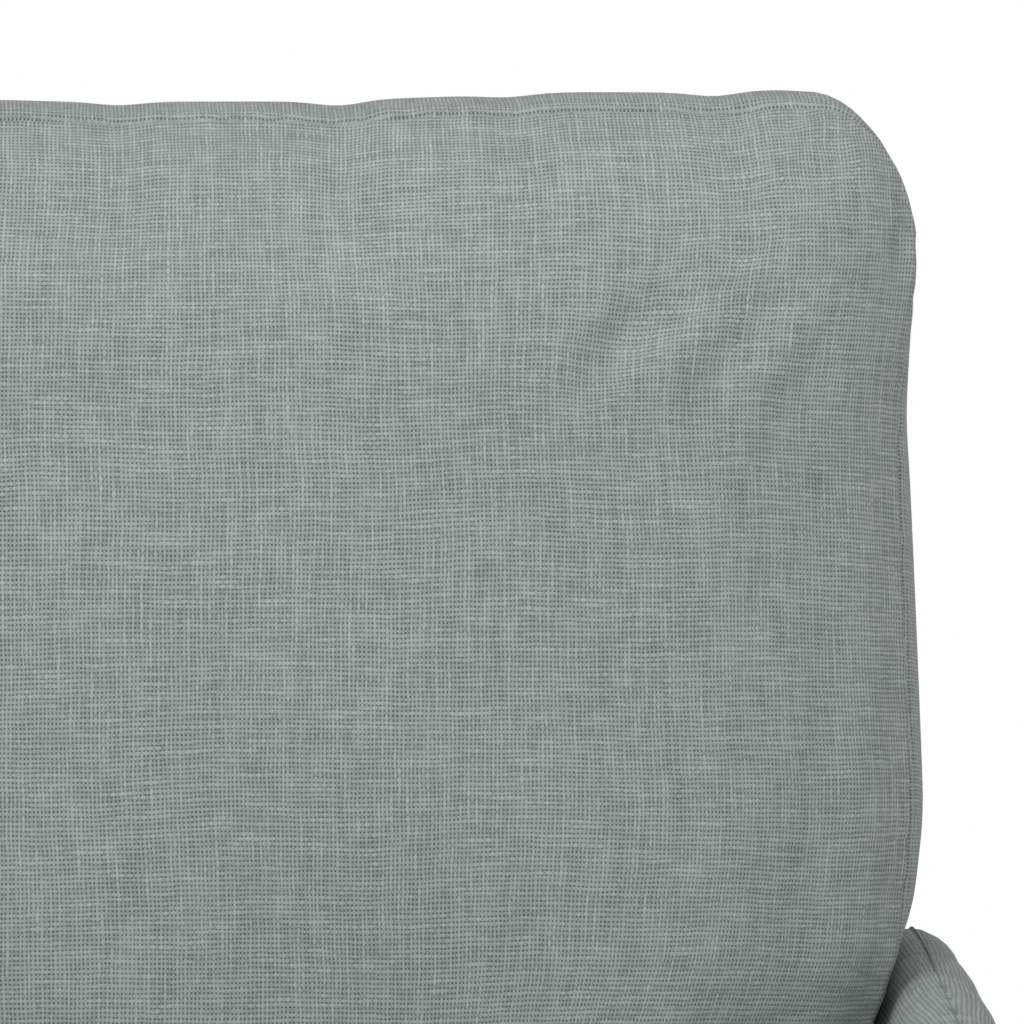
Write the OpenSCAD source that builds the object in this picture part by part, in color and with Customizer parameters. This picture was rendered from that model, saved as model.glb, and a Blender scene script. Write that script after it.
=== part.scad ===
// Upholstered swivel glider chair for a nursery.
// Millimetres, +Z up, the sitter faces -Y. The origin is on the floor at the swivel axis.
// Left means the sitter's left, which is +X.
// The seat hangs on four equal parallel hangers, so it glides level on a shallow arc.

/* [Overall] */
// Clear width between the arms
seat_w = 530; // [500:10:640]
// Depth from the front of the arms to the rear of the back
overall_d = 840; // [780:10:1010]
// Height of the back cushion's top over the floor
overall_h = 1000; // [900:10:1120]
// Gap between the floor and the upholstery's lower edge
body_z = 110; // [90:5:130]
// Lean of the back from the vertical, in degrees
rake = 10; // [6:1:14]
// Fall of the seat deck towards the back, in degrees
seat_tilt = 3; // [0:0.5:5]

/* [Arms] */
// Thickness of a padded arm below its crest
arm_t = 88; // [72:2:106]
// Height of the arm's crest at its rear end
arm_h_rear = 644; // [600:2:790]
// Height of the arm's crest at its front end
arm_h_front = 585; // [560:1:620]
// Radius of the arm's narrow crest
arm_crest_r = 24; // [16:1:30]
// How far below the crest the arm reaches its full thickness
arm_shoulder = 80; // [60:5:110]
// Length over which the sloping crest levels off towards the rear
arm_dome = 150; // [80:5:200]
// Thickness of the plywood panel inside the arm
arm_panel_t = 18; // [12:1:24]
// Padding over the panel's top, front and rear edges
arm_pad_edge = 30; // [24:1:36]

/* [Cushions] */
// Thickness of the seat cushion
seat_cushion_t = 132; // [100:2:160]
// Thickness of the back cushion
back_cushion_t = 155; // [120:5:190]
// How far the back cushion stands past the seat on each side, above the arms
back_overhang = 34; // [10:1:44]
// Rounding of the back cushion's edges
back_round = 52; // [36:2:60]
// Rounding of the seat cushion's edges
seat_round = 24; // [16:1:36]
// Gap between a cushion and what is beside it
cushion_gap = 3; // [2:0.5:6]

/* [Back] */
// Padding on the rear of the back
back_pad_t = 10; // [6:1:16]
// Padding on the sides and the top of the back
back_side_pad = 26; // [16:1:30]
// Width of a back post
post_w = 28; // [20:1:40]
// Depth of a back post, front to rear
post_d = 48; // [36:1:60]
// Corner radius of the back's outline
back_corner = 62; // [44:1:76]
// Thickness of the elastic webbing
webbing_t = 2; // [1:0.5:3]
// Width of a webbing strap
webbing_w = 50; // [40:5:60]
// Number of webbing straps across the back
webbing_count = 6; // [4:1:6]

/* [Seat frame] */
// Height of the side rails at the front
side_rail_h = 72; // [62:1:100]
// Thickness of the front and rear rails
rail_t = 22; // [18:1:30]
// Thickness of the seat deck
deck_t = 5; // [3:0.5:8]
// Wire radius of the zigzag seat springs
spring_wire_r = 1.9; // [1.5:0.1:2.2]
// Number of zigzag springs
spring_count = 5; // [4:1:6]
// Half width of a spring's zigzag
spring_half_w = 23; // [18:1:26]
// Loops in each spring
spring_loops = 11; // [8:1:14]

/* [Glide] */
// Distance between a hanger's two pivots
hanger_l = 140; // [110:5:170]
// Swing of the hangers each way, in degrees
glide_angle = 20; // [10:1:24]
// Distance between the front and the rear hangers
hanger_span = 220; // [180:5:260]
// Radius of the eye at each end of a hanger
eye_r = 16; // [14:1:20]
// Width of a hanger between its eyes
hanger_w = 24; // [18:1:26]
// Thickness of the pressed steel plates
plate_t = 4; // [3:0.5:5]
// Gap between neighbouring plates
plate_gap = 3; // [2.5:0.5:4]
// Radius of the pivot rivets
rivet_r = 5; // [4:0.5:6]
// Thickness of a rivet's head
rivet_head_t = 1.8; // [1.2:0.1:2]
// Outer radius of a hanger's bush
bush_r = 8; // [7:0.5:9]
// Radial clearance of a rivet in its bush
pivot_clear = 0.08; // [0.02:0.02:0.1]
// Radius of the rubber stops
stop_r = 7; // [5:0.5:9]

/* [Swivel] */
// Radius of the base ring's centre line
ring_r = 250; // [220:5:290]
// Radius of the base ring's tube
tube_r = 12.5; // [11:0.5:16]
// Height of the glides under the base ring
glide_h = 8; // [6:1:12]
// Number of glides under the base ring
glide_count = 6; // [4:1:8]
// Width of the rectangular steel tubes
bar_w = 30; // [24:1:40]
// Height of the rectangular steel tubes
bar_h = 20; // [16:1:22]
// Wall of the rectangular steel tubes
bar_wall = 2; // [1.5:0.5:3]
// Radius of the swivel plates
swivel_plate_r = 110; // [100:2:120]
// Thickness of the swivel plates
swivel_plate_t = 5; // [4.5:0.5:7]
// Pitch radius of the ball race
race_r = 92; // [80:1:96]
// Radius of a bearing ball
ball_r = 4; // [3.5:0.5:5]
// Number of bearing balls
ball_count = 24; // [16:2:30]
// Radius of the centre bolt
kingpin_r = 9; // [7:0.5:11]

/* [Hidden] */
$fn = 64;
soft_fn = 28;

steel_black = [0.07, 0.07, 0.075];
steel_zinc = [0.62, 0.63, 0.64];
nylon_white = [0.85, 0.85, 0.82];
rubber_black = [0.05, 0.05, 0.05];
birch_ply = [0.72, 0.58, 0.40];
pine_wood = [0.78, 0.63, 0.42];
web_black = [0.10, 0.10, 0.11];
linen_grey = [0.55, 0.58, 0.57];

// Swivel heights, from the floor up
ring_z = glide_h + tube_r;
bar_top_z = ring_z + bar_h / 2;
race_gap = 0.75 * ball_r;
race_clear = 0.05;
lower_plate_z = bar_top_z;
upper_plate_z = lower_plate_z + swivel_plate_t + race_gap;
ball_z = lower_plate_z + swivel_plate_t + race_gap / 2;
carrier_z = upper_plate_z + swivel_plate_t;
carrier_bar_z = carrier_z + plate_t;
carrier_top_z = carrier_bar_z + bar_h;
kingpin_head_r = kingpin_r + 7;
kingpin_head_t = 5;
kingpin_clear = 0.4;
kingpin_bush_r = kingpin_r + 3;
washer_t = 3;
nut_t = 11;
carrier_side = 2 * (swivel_plate_r + 8);
carrier_bar_y = carrier_side / 2 - bar_w;
carrier_bolt_xy = 0.4 * swivel_plate_r;
carrier_bolt_r = 4;

// Glide linkage: heights, and the three plates side by side from the centre outwards
eye_clear = 2;
platform_clear = 7;
stop_gap = 0.5;
pivot_low_z = carrier_top_z + eye_r + eye_clear;
pivot_high_z = pivot_low_z + hanger_l;
pivot_y = hanger_span / 2;
upright_inset = 70;
upright_x = seat_w / 2 - upright_inset;
hanger_x = upright_x + plate_gap;
bracket_x = hanger_x + plate_t + plate_gap;
head_gap = 0.2;
head_r = rivet_r + 4;
flange_r = bush_r + 3;
stop_drop = 0.57 * hanger_l;
stop_side = hanger_w / 2 + stop_r + stop_gap;
stop_y = pivot_y - stop_drop * sin(glide_angle) - stop_side * cos(glide_angle);
stop_z = pivot_high_z - stop_drop * cos(glide_angle) + stop_side * sin(glide_angle);
platform_z = pivot_high_z + eye_r + platform_clear;
platform_y = 60;
platform_bolt_up = 26;
flange_w = 32;
platform_bolt_r = 4;
bolt_head_t = 5;

// Seat frame: the deck plane starts at the front and falls towards the back
wood_z = platform_z + bar_h;
front_y = -overall_d / 2;
spring_play = 2.2;
rail_drop = deck_t + 2 * spring_wire_r + spring_play;
deck_z = wood_z + side_rail_h + rail_drop;
half_w = seat_w / 2;
side_pad = 8;
frame_half_w = half_w - side_pad;
apron_t = 12;
apron_set_back = 14;
apron_y = front_y + apron_set_back;
front_rail_y = apron_y + apron_t;
side_rail_y = front_rail_y + 14;
clip_w = 22;
clip_d = 11;
spring_x = frame_half_w - 52;

// Arms
arm_r = arm_t / 2;
arm_x = half_w + arm_r;
panel_in = arm_x - arm_panel_t / 2;
arm_bottom_gap = 4;

// Back: its own frame has y' normal to the outer face and z' up along it
back_frame_t = back_pad_t + post_d + webbing_t;
cushion_back_y = -(back_frame_t + cushion_gap - 1);
back_round_z = (overall_h - body_z - back_round
    + (cushion_back_y - back_cushion_t + back_round) * sin(rake)) / cos(rake);
back_cushion_top = back_round_z + back_round;
outer_back_drop = 14;
outer_back_inset = 11;
outer_back_top = back_cushion_top - outer_back_drop;
outer_back_half_w = half_w + back_overhang - outer_back_inset;
back_y0 = overall_d / 2 - outer_back_top * sin(rake);
ear_z = (arm_h_rear - body_z) / cos(rake) + 5;
post_front = -(back_pad_t + post_d);
post_bottom = 8;
post_top = outer_back_top - back_side_pad - 8;
back_rail_h = 56;
lumbar_z = (deck_z + seat_cushion_t - body_z) / cos(rake) - 20;
block_z = [60, ear_z - 150];
block_h = 50;
block_d = 28;

// Y and Z of the point yp, zp of the back's own frame
function back_point(yp, zp) = [
    back_y0 + yp * cos(rake) + zp * sin(rake),
    body_z - yp * sin(rake) + zp * cos(rake)
];
// z' of the height z on the line y' = yp
function back_zp(yp, z) = (z - body_z + yp * sin(rake)) / cos(rake);
// Y of the line y' = yp at the height z
function back_y(z, yp) = back_point(yp, back_zp(yp, z))[0];
// z' where the line y' = yp meets the plane d above the seat deck
function back_meets_deck(yp, d) = (deck_z + d / cos(seat_tilt) - body_z + yp * sin(rake)
    - tan(seat_tilt) * (back_y0 + yp * cos(rake) - front_y))
    / (cos(rake) + sin(rake) * tan(seat_tilt));
// Height over the floor of the plane d above the seat deck
function deck_plane_z(y, d) = deck_z + d / cos(seat_tilt) - tan(seat_tilt) * (y - front_y);
// Length along the deck from its front to the line y' = yp
function deck_length(yp) = (back_point(yp, back_meets_deck(yp, 0))[0] - front_y) / cos(seat_tilt);

// Height of the arm's crest over the floor: a straight slope that levels off over the dome
arm_rear_y = back_y(arm_h_rear - arm_crest_r, -arm_r);
arm_front_y = front_y + arm_r;
arm_slope = (arm_h_rear - arm_h_front) / (arm_rear_y - arm_front_y - arm_dome / 2);
function arm_crest_z(y) =
    let (t = arm_rear_y - y)
    arm_h_rear - arm_slope * (t < arm_dome ? t * t / (2 * arm_dome) : t - arm_dome / 2);

module in_back() translate([0, back_y0, body_z]) rotate([-rake, 0, 0]) children();
module in_seat() translate([0, front_y, deck_z]) rotate([-seat_tilt, 0, 0]) children();
module on_side(side) mirror([side < 0 ? 1 : 0, 0, 0]) children();
module both_sides() for (side = [-1, 1]) on_side(side) children();

// A box given by its lowest and highest corners
module span(low, high) translate(low) cube(high - low);

// A plate in the Y-Z plane, from x0 to x1, of the 2D outline that is its child
module yz_plate(x0, x1) translate([x0, 0, 0]) rotate([90, 0, 90]) linear_extrude(x1 - x0) children();

// A round bar along +X
module x_rod(x0, x1, y, z, r) translate([x0, y, z]) rotate([0, 90, 0]) cylinder(r = r, h = x1 - x0);

// A rectangle from low to high with round corners
module round_rect(low, high, r) {
    translate([low.x, low.y + r]) square([high.x - low.x, high.y - low.y - 2 * r]);
    translate([low.x + r, low.y]) square([high.x - low.x - 2 * r, high.y - low.y]);
    for (x = [low.x + r, high.x - r], y = [low.y + r, high.y - r]) translate([x, y]) circle(r = r);
}

// A padded block with rounded edges, as the common part of its front and side outlines
module soft_block(low, high, r) intersection() {
    translate([0, high.y, 0]) rotate([90, 0, 0]) linear_extrude(high.y - low.y)
        round_rect([low.x, low.z], [high.x, high.z], r);
    yz_plate(low.x - 1, high.x + 1) round_rect([low.y, low.z], [high.y, high.z], r * 0.8);
}

// A rectangular steel tube along X, centred on y, with its floor at z
module x_tube(half_length, y, z) difference() {
    span([-half_length, y - bar_w / 2, z], [half_length, y + bar_w / 2, z + bar_h]);
    span([-half_length - 1, y - bar_w / 2 + bar_wall, z + bar_wall],
         [half_length + 1, y + bar_w / 2 - bar_wall, z + bar_h - bar_wall]);
}

// ---- Base: ring on glides, with the lower half of the swivel bearing ----

module base_torus(r) translate([0, 0, ring_z]) rotate_extrude() translate([ring_r, 0]) circle(r = r);

module base_bars() {
    span([-ring_r, -bar_w / 2, ring_z - bar_h / 2], [ring_r, bar_w / 2, bar_top_z]);
    span([-bar_w / 2, -ring_r, ring_z - bar_h / 2], [bar_w / 2, ring_r, bar_top_z]);
}

module base_ring() color(steel_black) difference() {
    union() {
        base_torus(tube_r);
        base_bars();
    }
    translate([0, 0, ring_z - bar_h]) cylinder(r = kingpin_r, h = 2 * bar_h);
}

module base_glides() color(rubber_black) difference() {
    for (i = [0 : glide_count - 1])
        rotate([0, 0, (i + 0.5) * 360 / glide_count]) translate([ring_r, 0, 0])
            cylinder(r1 = tube_r, r2 = tube_r + 3, h = ring_z - 5);
    base_torus(tube_r);
    base_bars();
}

// One swivel plate with its half of the ball race
module race_plate(z, hole_r) difference() {
    translate([0, 0, z]) cylinder(r = swivel_plate_r, h = swivel_plate_t);
    translate([0, 0, ball_z]) rotate_extrude() translate([race_r, 0]) circle(r = ball_r + race_clear);
    translate([0, 0, z - 1]) cylinder(r = hole_r, h = swivel_plate_t + 2);
}

module bearing_lower_plate() color(steel_zinc) race_plate(lower_plate_z, kingpin_r);

module at_balls() for (i = [0 : ball_count - 1])
    rotate([0, 0, i * 360 / ball_count]) translate([race_r, 0, ball_z]) children();

module bearing_balls() color(steel_zinc) at_balls() sphere(r = ball_r);

module ball_cage() color(nylon_white) difference() {
    translate([0, 0, ball_z - 0.3 * race_gap]) cylinder(r = race_r + ball_r + 4, h = 0.6 * race_gap);
    translate([0, 0, ball_z - race_gap]) cylinder(r = race_r - ball_r - 4, h = 2 * race_gap);
    at_balls() translate([0, 0, -race_gap]) cylinder(r = ball_r + 0.15, h = 2 * race_gap);
}

washer_z = carrier_bar_z + kingpin_clear;
module kingpin_bolt() color(steel_zinc) union() {
    translate([0, 0, ring_z - bar_h / 2 - kingpin_head_t]) cylinder(r = kingpin_head_r, h = kingpin_head_t);
    translate([0, 0, ring_z - bar_h / 2])
        cylinder(r = kingpin_r, h = washer_z + washer_t + nut_t + 3 - (ring_z - bar_h / 2));
}

module kingpin_washer() color(steel_zinc) translate([0, 0, washer_z]) difference() {
    cylinder(r = kingpin_bush_r + 6, h = washer_t);
    translate([0, 0, -1]) cylinder(r = kingpin_r, h = washer_t + 2);
}

module kingpin_nut() color(steel_zinc) translate([0, 0, washer_z + washer_t]) difference() {
    cylinder(r = kingpin_r + 6, h = nut_t, $fn = 6);
    translate([0, 0, -1]) cylinder(r = kingpin_r, h = nut_t + 2);
}

// ---- Turntable: upper half of the bearing, and the frame that the hangers hang from ----

module at_carrier_bolts() for (x = [-1, 1], y = [-1, 1])
    translate([x * carrier_bolt_xy, y * carrier_bolt_xy, 0]) children();

module carrier_bolt_body() {
    translate([0, 0, upper_plate_z]) cylinder(r = carrier_bolt_r + 2.5, h = swivel_plate_t / 2);
    translate([0, 0, upper_plate_z]) cylinder(r = carrier_bolt_r, h = carrier_bar_z - upper_plate_z + 8);
}

module bearing_upper_plate() color(steel_zinc) difference() {
    race_plate(upper_plate_z, kingpin_bush_r);
    at_carrier_bolts() carrier_bolt_body();
}

module kingpin_bush() color(nylon_white) translate([0, 0, upper_plate_z]) difference() {
    cylinder(r = kingpin_bush_r, h = carrier_bar_z - upper_plate_z);
    translate([0, 0, -1]) cylinder(r = kingpin_r + race_clear, h = carrier_bar_z - upper_plate_z + 2);
}

module carrier_frame() color(steel_black) difference() {
    union() {
        span([-carrier_side / 2, -carrier_side / 2, carrier_z], [carrier_side / 2, carrier_side / 2, carrier_bar_z]);
        for (y = [-carrier_bar_y, carrier_bar_y]) x_tube(upright_x - plate_t, y, carrier_bar_z);
    }
    translate([0, 0, carrier_z - 1]) cylinder(r = kingpin_bush_r, h = plate_t + 2);
    at_carrier_bolts() carrier_bolt_body();
}

module carrier_bolts() color(steel_zinc) at_carrier_bolts() {
    carrier_bolt_body();
    translate([0, 0, carrier_bar_z]) cylinder(r = carrier_bolt_r + 3, h = 6, $fn = 6);
}

module upright_outline() difference() {
    union() {
        polygon([
            [-pivot_y + 6, carrier_z], [pivot_y - 6, carrier_z],
            [pivot_y + hanger_w / 2, carrier_top_z], [pivot_y + eye_r - 3, pivot_high_z],
            [pivot_y, pivot_high_z + eye_r - 1], [-pivot_y, pivot_high_z + eye_r - 1],
            [-pivot_y - eye_r + 3, pivot_high_z], [-pivot_y - hanger_w / 2, carrier_top_z]
        ]);
        for (y = [-pivot_y, pivot_y]) translate([y, pivot_high_z]) circle(r = eye_r);
    }
    for (y = [-pivot_y, pivot_y]) translate([y, pivot_high_z]) circle(r = rivet_r);
    for (y = [-stop_y, stop_y]) translate([y, stop_z]) circle(r = stop_r / 2);
}

module upright(side) color(steel_black) on_side(side)
    yz_plate(upright_x - plate_t, upright_x) upright_outline();

module hanger_upper_rivets() color(steel_zinc) both_sides() for (y = [-pivot_y, pivot_y]) {
    x_rod(upright_x - plate_t - rivet_head_t, upright_x - plate_t, y, pivot_high_z, head_r);
    x_rod(upright_x - plate_t, hanger_x + plate_t + head_gap, y, pivot_high_z, rivet_r);
    x_rod(hanger_x + plate_t + head_gap, hanger_x + plate_t + head_gap + rivet_head_t, y, pivot_high_z, head_r);
}

module stop_bumpers() color(rubber_black) both_sides() for (y = [-stop_y, stop_y]) {
    x_rod(upright_x, bracket_x - 1.5, y, stop_z, stop_r);
    x_rod(upright_x - plate_t, upright_x, y, stop_z, stop_r / 2);
    x_rod(upright_x - plate_t - 3, upright_x - plate_t, y, stop_z, stop_r * 0.7);
}

// ---- Hangers ----

module hanger_outline(y) difference() {
    union() {
        for (z = [pivot_low_z, pivot_high_z]) translate([y, z]) circle(r = eye_r);
        translate([y - hanger_w / 2, pivot_low_z]) square([hanger_w, hanger_l]);
    }
    for (z = [pivot_low_z, pivot_high_z]) translate([y, z]) circle(r = bush_r);
}

module hanger(side, y) color(steel_black) on_side(side)
    yz_plate(hanger_x, hanger_x + plate_t) hanger_outline(y);

// Flanged bushes of one pair of hangers: the flange is on the side of the plate that the hanger rubs on
module bushes(y) color(nylon_white) both_sides() difference() {
    union() {
        x_rod(upright_x + head_gap, hanger_x, y, pivot_high_z, flange_r);
        x_rod(hanger_x, hanger_x + plate_t, y, pivot_high_z, bush_r);
        x_rod(hanger_x, hanger_x + plate_t, y, pivot_low_z, bush_r);
        x_rod(hanger_x + plate_t, bracket_x - head_gap, y, pivot_low_z, flange_r);
    }
    for (z = [pivot_low_z, pivot_high_z]) x_rod(upright_x, bracket_x, y, z, rivet_r + pivot_clear);
}

// ---- Seat side of the glide linkage ----

module bracket_outline() difference() {
    union() {
        polygon([
            [-pivot_y, pivot_low_z - eye_r + 1], [pivot_y, pivot_low_z - eye_r + 1],
            [pivot_y + eye_r - 4, pivot_low_z + 10], [platform_y + bar_w / 2, pivot_low_z + 60],
            [platform_y + bar_w / 2, platform_z], [-platform_y - bar_w / 2, platform_z],
            [-platform_y - bar_w / 2, pivot_low_z + 60], [-pivot_y - eye_r + 4, pivot_low_z + 10]
        ]);
        for (y = [-pivot_y, pivot_y]) translate([y, pivot_low_z]) circle(r = eye_r);
    }
    for (y = [-pivot_y, pivot_y]) translate([y, pivot_low_z]) circle(r = rivet_r);
}

module at_bracket_bolts() both_sides() for (y = [-platform_y, platform_y])
    translate([bracket_x + flange_w / 2 + 2, y, 0]) children();

module swing_bracket(side) color(steel_black) difference() {
    on_side(side) {
        yz_plate(bracket_x, bracket_x + plate_t) bracket_outline();
        span([bracket_x, -platform_y - bar_w / 2, platform_z - plate_t],
             [bracket_x + flange_w, platform_y + bar_w / 2, platform_z]);
    }
    at_bracket_bolts() translate([0, 0, platform_z - plate_t - 1])
        cylinder(r = platform_bolt_r, h = plate_t + 2);
}

module hanger_lower_rivets() color(steel_zinc) both_sides() for (y = [-pivot_y, pivot_y]) {
    x_rod(hanger_x - head_gap - rivet_head_t, hanger_x - head_gap, y, pivot_low_z, head_r);
    x_rod(hanger_x - head_gap, bracket_x + plate_t, y, pivot_low_z, rivet_r);
    x_rod(bracket_x + plate_t, bracket_x + plate_t + rivet_head_t, y, pivot_low_z, head_r);
}

module bracket_bolts() color(steel_zinc) at_bracket_bolts() {
    translate([0, 0, platform_z - plate_t - bolt_head_t]) cylinder(r = platform_bolt_r + 3, h = bolt_head_t, $fn = 6);
    translate([0, 0, platform_z - plate_t]) cylinder(r = platform_bolt_r, h = plate_t + bar_wall + 6);
}

platform_bolt_x = (frame_half_w + panel_in) / 2;
module at_platform_bolts() both_sides() for (y = [-platform_y, platform_y])
    translate([platform_bolt_x, y, 0]) children();

module platform_bolts() color(steel_zinc) at_platform_bolts() {
    translate([0, 0, platform_z - bolt_head_t]) cylinder(r = platform_bolt_r + 3, h = bolt_head_t, $fn = 6);
    translate([0, 0, platform_z]) cylinder(r = platform_bolt_r, h = bar_h + platform_bolt_up);
}

module platform_bar(y) color(steel_black) difference() {
    x_tube(panel_in - 2, y, platform_z);
    at_bracket_bolts() translate([0, 0, platform_z - 1]) cylinder(r = platform_bolt_r, h = bar_wall + 2);
    at_platform_bolts() translate([0, 0, platform_z - 1]) cylinder(r = platform_bolt_r, h = bar_h + 2);
}

// ---- Wooden seat frame, springs and deck ----

rail_lap = -post_d;
module side_rail(side) color(pine_wood) difference() {
    on_side(side) yz_plate(frame_half_w, panel_in) polygon([
        [side_rail_y, wood_z], [side_rail_y, deck_plane_z(side_rail_y, -rail_drop)],
        back_point(rail_lap, back_meets_deck(rail_lap, -rail_drop)),
        back_point(rail_lap, back_zp(rail_lap, wood_z))
    ]);
    at_platform_bolts() translate([0, 0, platform_z]) cylinder(r = platform_bolt_r, h = bar_h + platform_bolt_up);
    frame_screw_bodies();
}

module front_rail() color(birch_ply) yz_plate(-frame_half_w, frame_half_w) polygon([
    [front_rail_y, body_z + arm_bottom_gap], [front_rail_y, deck_plane_z(front_rail_y, -rail_drop)],
    [front_rail_y + rail_t, deck_plane_z(front_rail_y + rail_t, -rail_drop)],
    [front_rail_y + rail_t, body_z + arm_bottom_gap]
]);

module rear_rail() color(pine_wood) yz_plate(-frame_half_w, frame_half_w) polygon([
    for (yp = [post_front - rail_t, post_front])
        each yp == post_front
            ? [back_point(yp, back_meets_deck(yp, -rail_drop)), back_point(yp, back_zp(yp, wood_z))]
            : [back_point(yp, back_zp(yp, wood_z)), back_point(yp, back_meets_deck(yp, -rail_drop))]
]);

block_leg = 62;
corner_front_y = front_rail_y + rail_t;
corner_rear_y = back_y(wood_z, post_front - rail_t);
corner_block_z = wood_z + 4;
corner_gap = 2.6;
corner_block_h = deck_plane_z(corner_rear_y, -rail_drop) - corner_block_z - corner_gap;
screw_r = 2.5;
screw_z = corner_block_z + corner_block_h / 2;
screw_y = [corner_front_y + 16, corner_rear_y - 16];

// One screw holds each corner block to its side rail
module frame_screw_bodies() both_sides() for (y = screw_y) {
    x_rod(frame_half_w - 24, frame_half_w + 18, y, screw_z, screw_r);
    x_rod(frame_half_w - 27, frame_half_w - 24, y, screw_z, screw_r + 2.5);
}

module frame_screws() color(steel_zinc) frame_screw_bodies();

module corner_blocks() color(pine_wood) difference() {
    both_sides() for (end = [[corner_front_y, 1], [corner_rear_y, -1]])
        translate([frame_half_w, end[0], corner_block_z]) mirror([0, end[1] < 0 ? 1 : 0, 0])
            linear_extrude(corner_block_h) polygon([[0, 0], [0, block_leg], [-block_leg, 0]]);
    frame_screw_bodies();
    both_sides() for (y = screw_y)
        x_rod(frame_half_w - 80, frame_half_w - 24, y, screw_z, screw_r + 2.5);
}

// A zigzag spring in the deck's plane: points of its centre line, from the front rail to the rear rail
spring_steps = 8;
spring_y0 = front_rail_y + rail_t / 2 - front_y;
spring_y1 = deck_length(post_front - rail_t / 2) - 1;
clip_play = 0.2;
clip_wall = 1.6;
spring_z = -deck_t - clip_play - clip_wall - spring_wire_r;
function spring_point(i) =
    let (turn = 360 * i / spring_steps, length = spring_y1 - spring_y0, n = spring_loops * spring_steps)
    [spring_half_w * sin(turn), spring_y0 + length * (i - 0.9 * sin(2 * turn)) / n, spring_z];
function spring_heading(i) =
    let (ahead = spring_point(i + 0.2) - spring_point(i - 0.2)) ahead / norm(ahead);
function spring_ring(x, i, sides) =
    let (p = spring_point(i), t = spring_heading(i))
    [for (k = [0 : sides - 1]) let (a = 360 * k / sides)
        [x + p.x - t.y * spring_wire_r * cos(a), p.y + t.x * spring_wire_r * cos(a),
         p.z + spring_wire_r * sin(a)]];

module zigzag_spring(x) {
    rings = spring_loops * spring_steps;
    sides = 6;
    polyhedron(
        points = [for (i = [0 : rings]) each spring_ring(x, i, sides)],
        faces = [
            [for (k = [0 : sides - 1]) k],
            for (i = [0 : rings - 1], k = [0 : sides - 1])
                [i * sides + k, (i + 1) * sides + k,
                 (i + 1) * sides + (k + 1) % sides, i * sides + (k + 1) % sides],
            [for (k = [sides - 1 : -1 : 0]) rings * sides + k]
        ]
    );
}

module at_springs() for (i = [0 : spring_count - 1])
    translate([-spring_x + 2 * spring_x * i / (spring_count - 1), 0, 0]) children();

module seat_springs() color(steel_zinc) in_seat() at_springs() zigzag_spring(0);

// A clip at each end of a spring, with a channel over the wire
module spring_clips() color(steel_zinc) in_seat() at_springs()
    for (y = [spring_y0, spring_y1]) difference() {
        span([-clip_w / 2, y - clip_d / 2, -rail_drop + clip_play], [clip_w / 2, y + clip_d / 2, -deck_t - clip_play]);
        span([-clip_w, y - clip_d / 2 + clip_wall, -rail_drop],
             [clip_w, y + clip_d / 2 - clip_wall, spring_z + spring_wire_r + clip_play / 2]);
    }

module seat_deck() color(web_black) in_seat() span(
    [-half_w + cushion_gap, front_rail_y - front_y + 2, -deck_t],
    [half_w - cushion_gap, deck_length(-back_frame_t) - 2, 0]);

module dust_cover() color(web_black) span(
    [-frame_half_w + 0.5, corner_front_y + 0.5, wood_z + 0.5],
    [frame_half_w - 0.5, corner_rear_y - 0.5, wood_z + 2]);

// ---- Arms ----

// Outline of the panel from the height z up: its top follows the crest in two straight runs
module arm_panel_outline(z) polygon([
    [front_y + arm_pad_edge, z],
    [front_y + arm_pad_edge, arm_h_front - arm_pad_edge - 14],
    [arm_front_y, arm_h_front - arm_pad_edge],
    [arm_rear_y - arm_dome, arm_crest_z(arm_rear_y - arm_dome) - arm_pad_edge],
    [arm_rear_y - 10, arm_h_rear - arm_pad_edge - 4],
    [back_y(arm_h_rear - arm_shoulder, -arm_pad_edge), arm_h_rear - arm_shoulder],
    [back_y(z, -arm_pad_edge), z]
]);

module arm_panel(side) color(birch_ply) on_side(side)
    yz_plate(panel_in, panel_in + arm_panel_t) arm_panel_outline(body_z + arm_bottom_gap);

// Blocks that join the back posts to the arm panels
module arm_blocks() color(pine_wood) both_sides() in_back() for (z = block_z)
    span([frame_half_w, post_front, z], [panel_in, post_front + block_d, z + block_h]);

// The hollow below the deck on the arm's inner side, where the side rail is
module arm_pocket() yz_plate(half_w - 2, panel_in) polygon([
    [side_rail_y, body_z - 1], [side_rail_y, deck_plane_z(side_rail_y, -rail_drop)],
    back_point(rail_lap, back_meets_deck(rail_lap, -rail_drop)),
    back_point(rail_lap, -4)
]);

// Ball of the padding's skin, r in radius, whose top is at the height z
module arm_ball(y, z, r) translate([arm_x, y, z - r]) sphere(r = r, $fn = soft_fn);

module arm_body() hull() {
    for (y = [arm_front_y, arm_rear_y - arm_dome, arm_rear_y - arm_dome / 2, arm_rear_y])
        arm_ball(y, arm_crest_z(y), arm_crest_r);
    arm_ball(arm_front_y, arm_h_front - arm_shoulder + arm_r, arm_r);
    arm_ball(back_y(arm_h_rear - arm_shoulder, -arm_r), arm_h_rear - arm_shoulder + arm_r, arm_r);
    for (y = [arm_front_y, back_y(body_z, -arm_r)])
        translate([arm_x, y, body_z]) cylinder(r = arm_r, h = 1, $fn = soft_fn);
}

module arm_upholstery(side) color(linen_grey) on_side(side) difference() {
    arm_body();
    yz_plate(panel_in, panel_in + arm_panel_t) arm_panel_outline(body_z - 1);
    arm_pocket();
    in_back() for (z = block_z)
        span([half_w - 9, post_front, z], [panel_in, post_front + block_d, z + block_h]);
}

// ---- Back ----

module back_post(side) color(pine_wood) on_side(side) in_back()
    span([frame_half_w - post_w, post_front, post_bottom], [frame_half_w, -back_pad_t, post_top]);

module back_cross_rail(z) color(pine_wood) in_back() span(
    [-frame_half_w + post_w, post_front, z], [frame_half_w - post_w, -back_pad_t, z + back_rail_h]);

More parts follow.
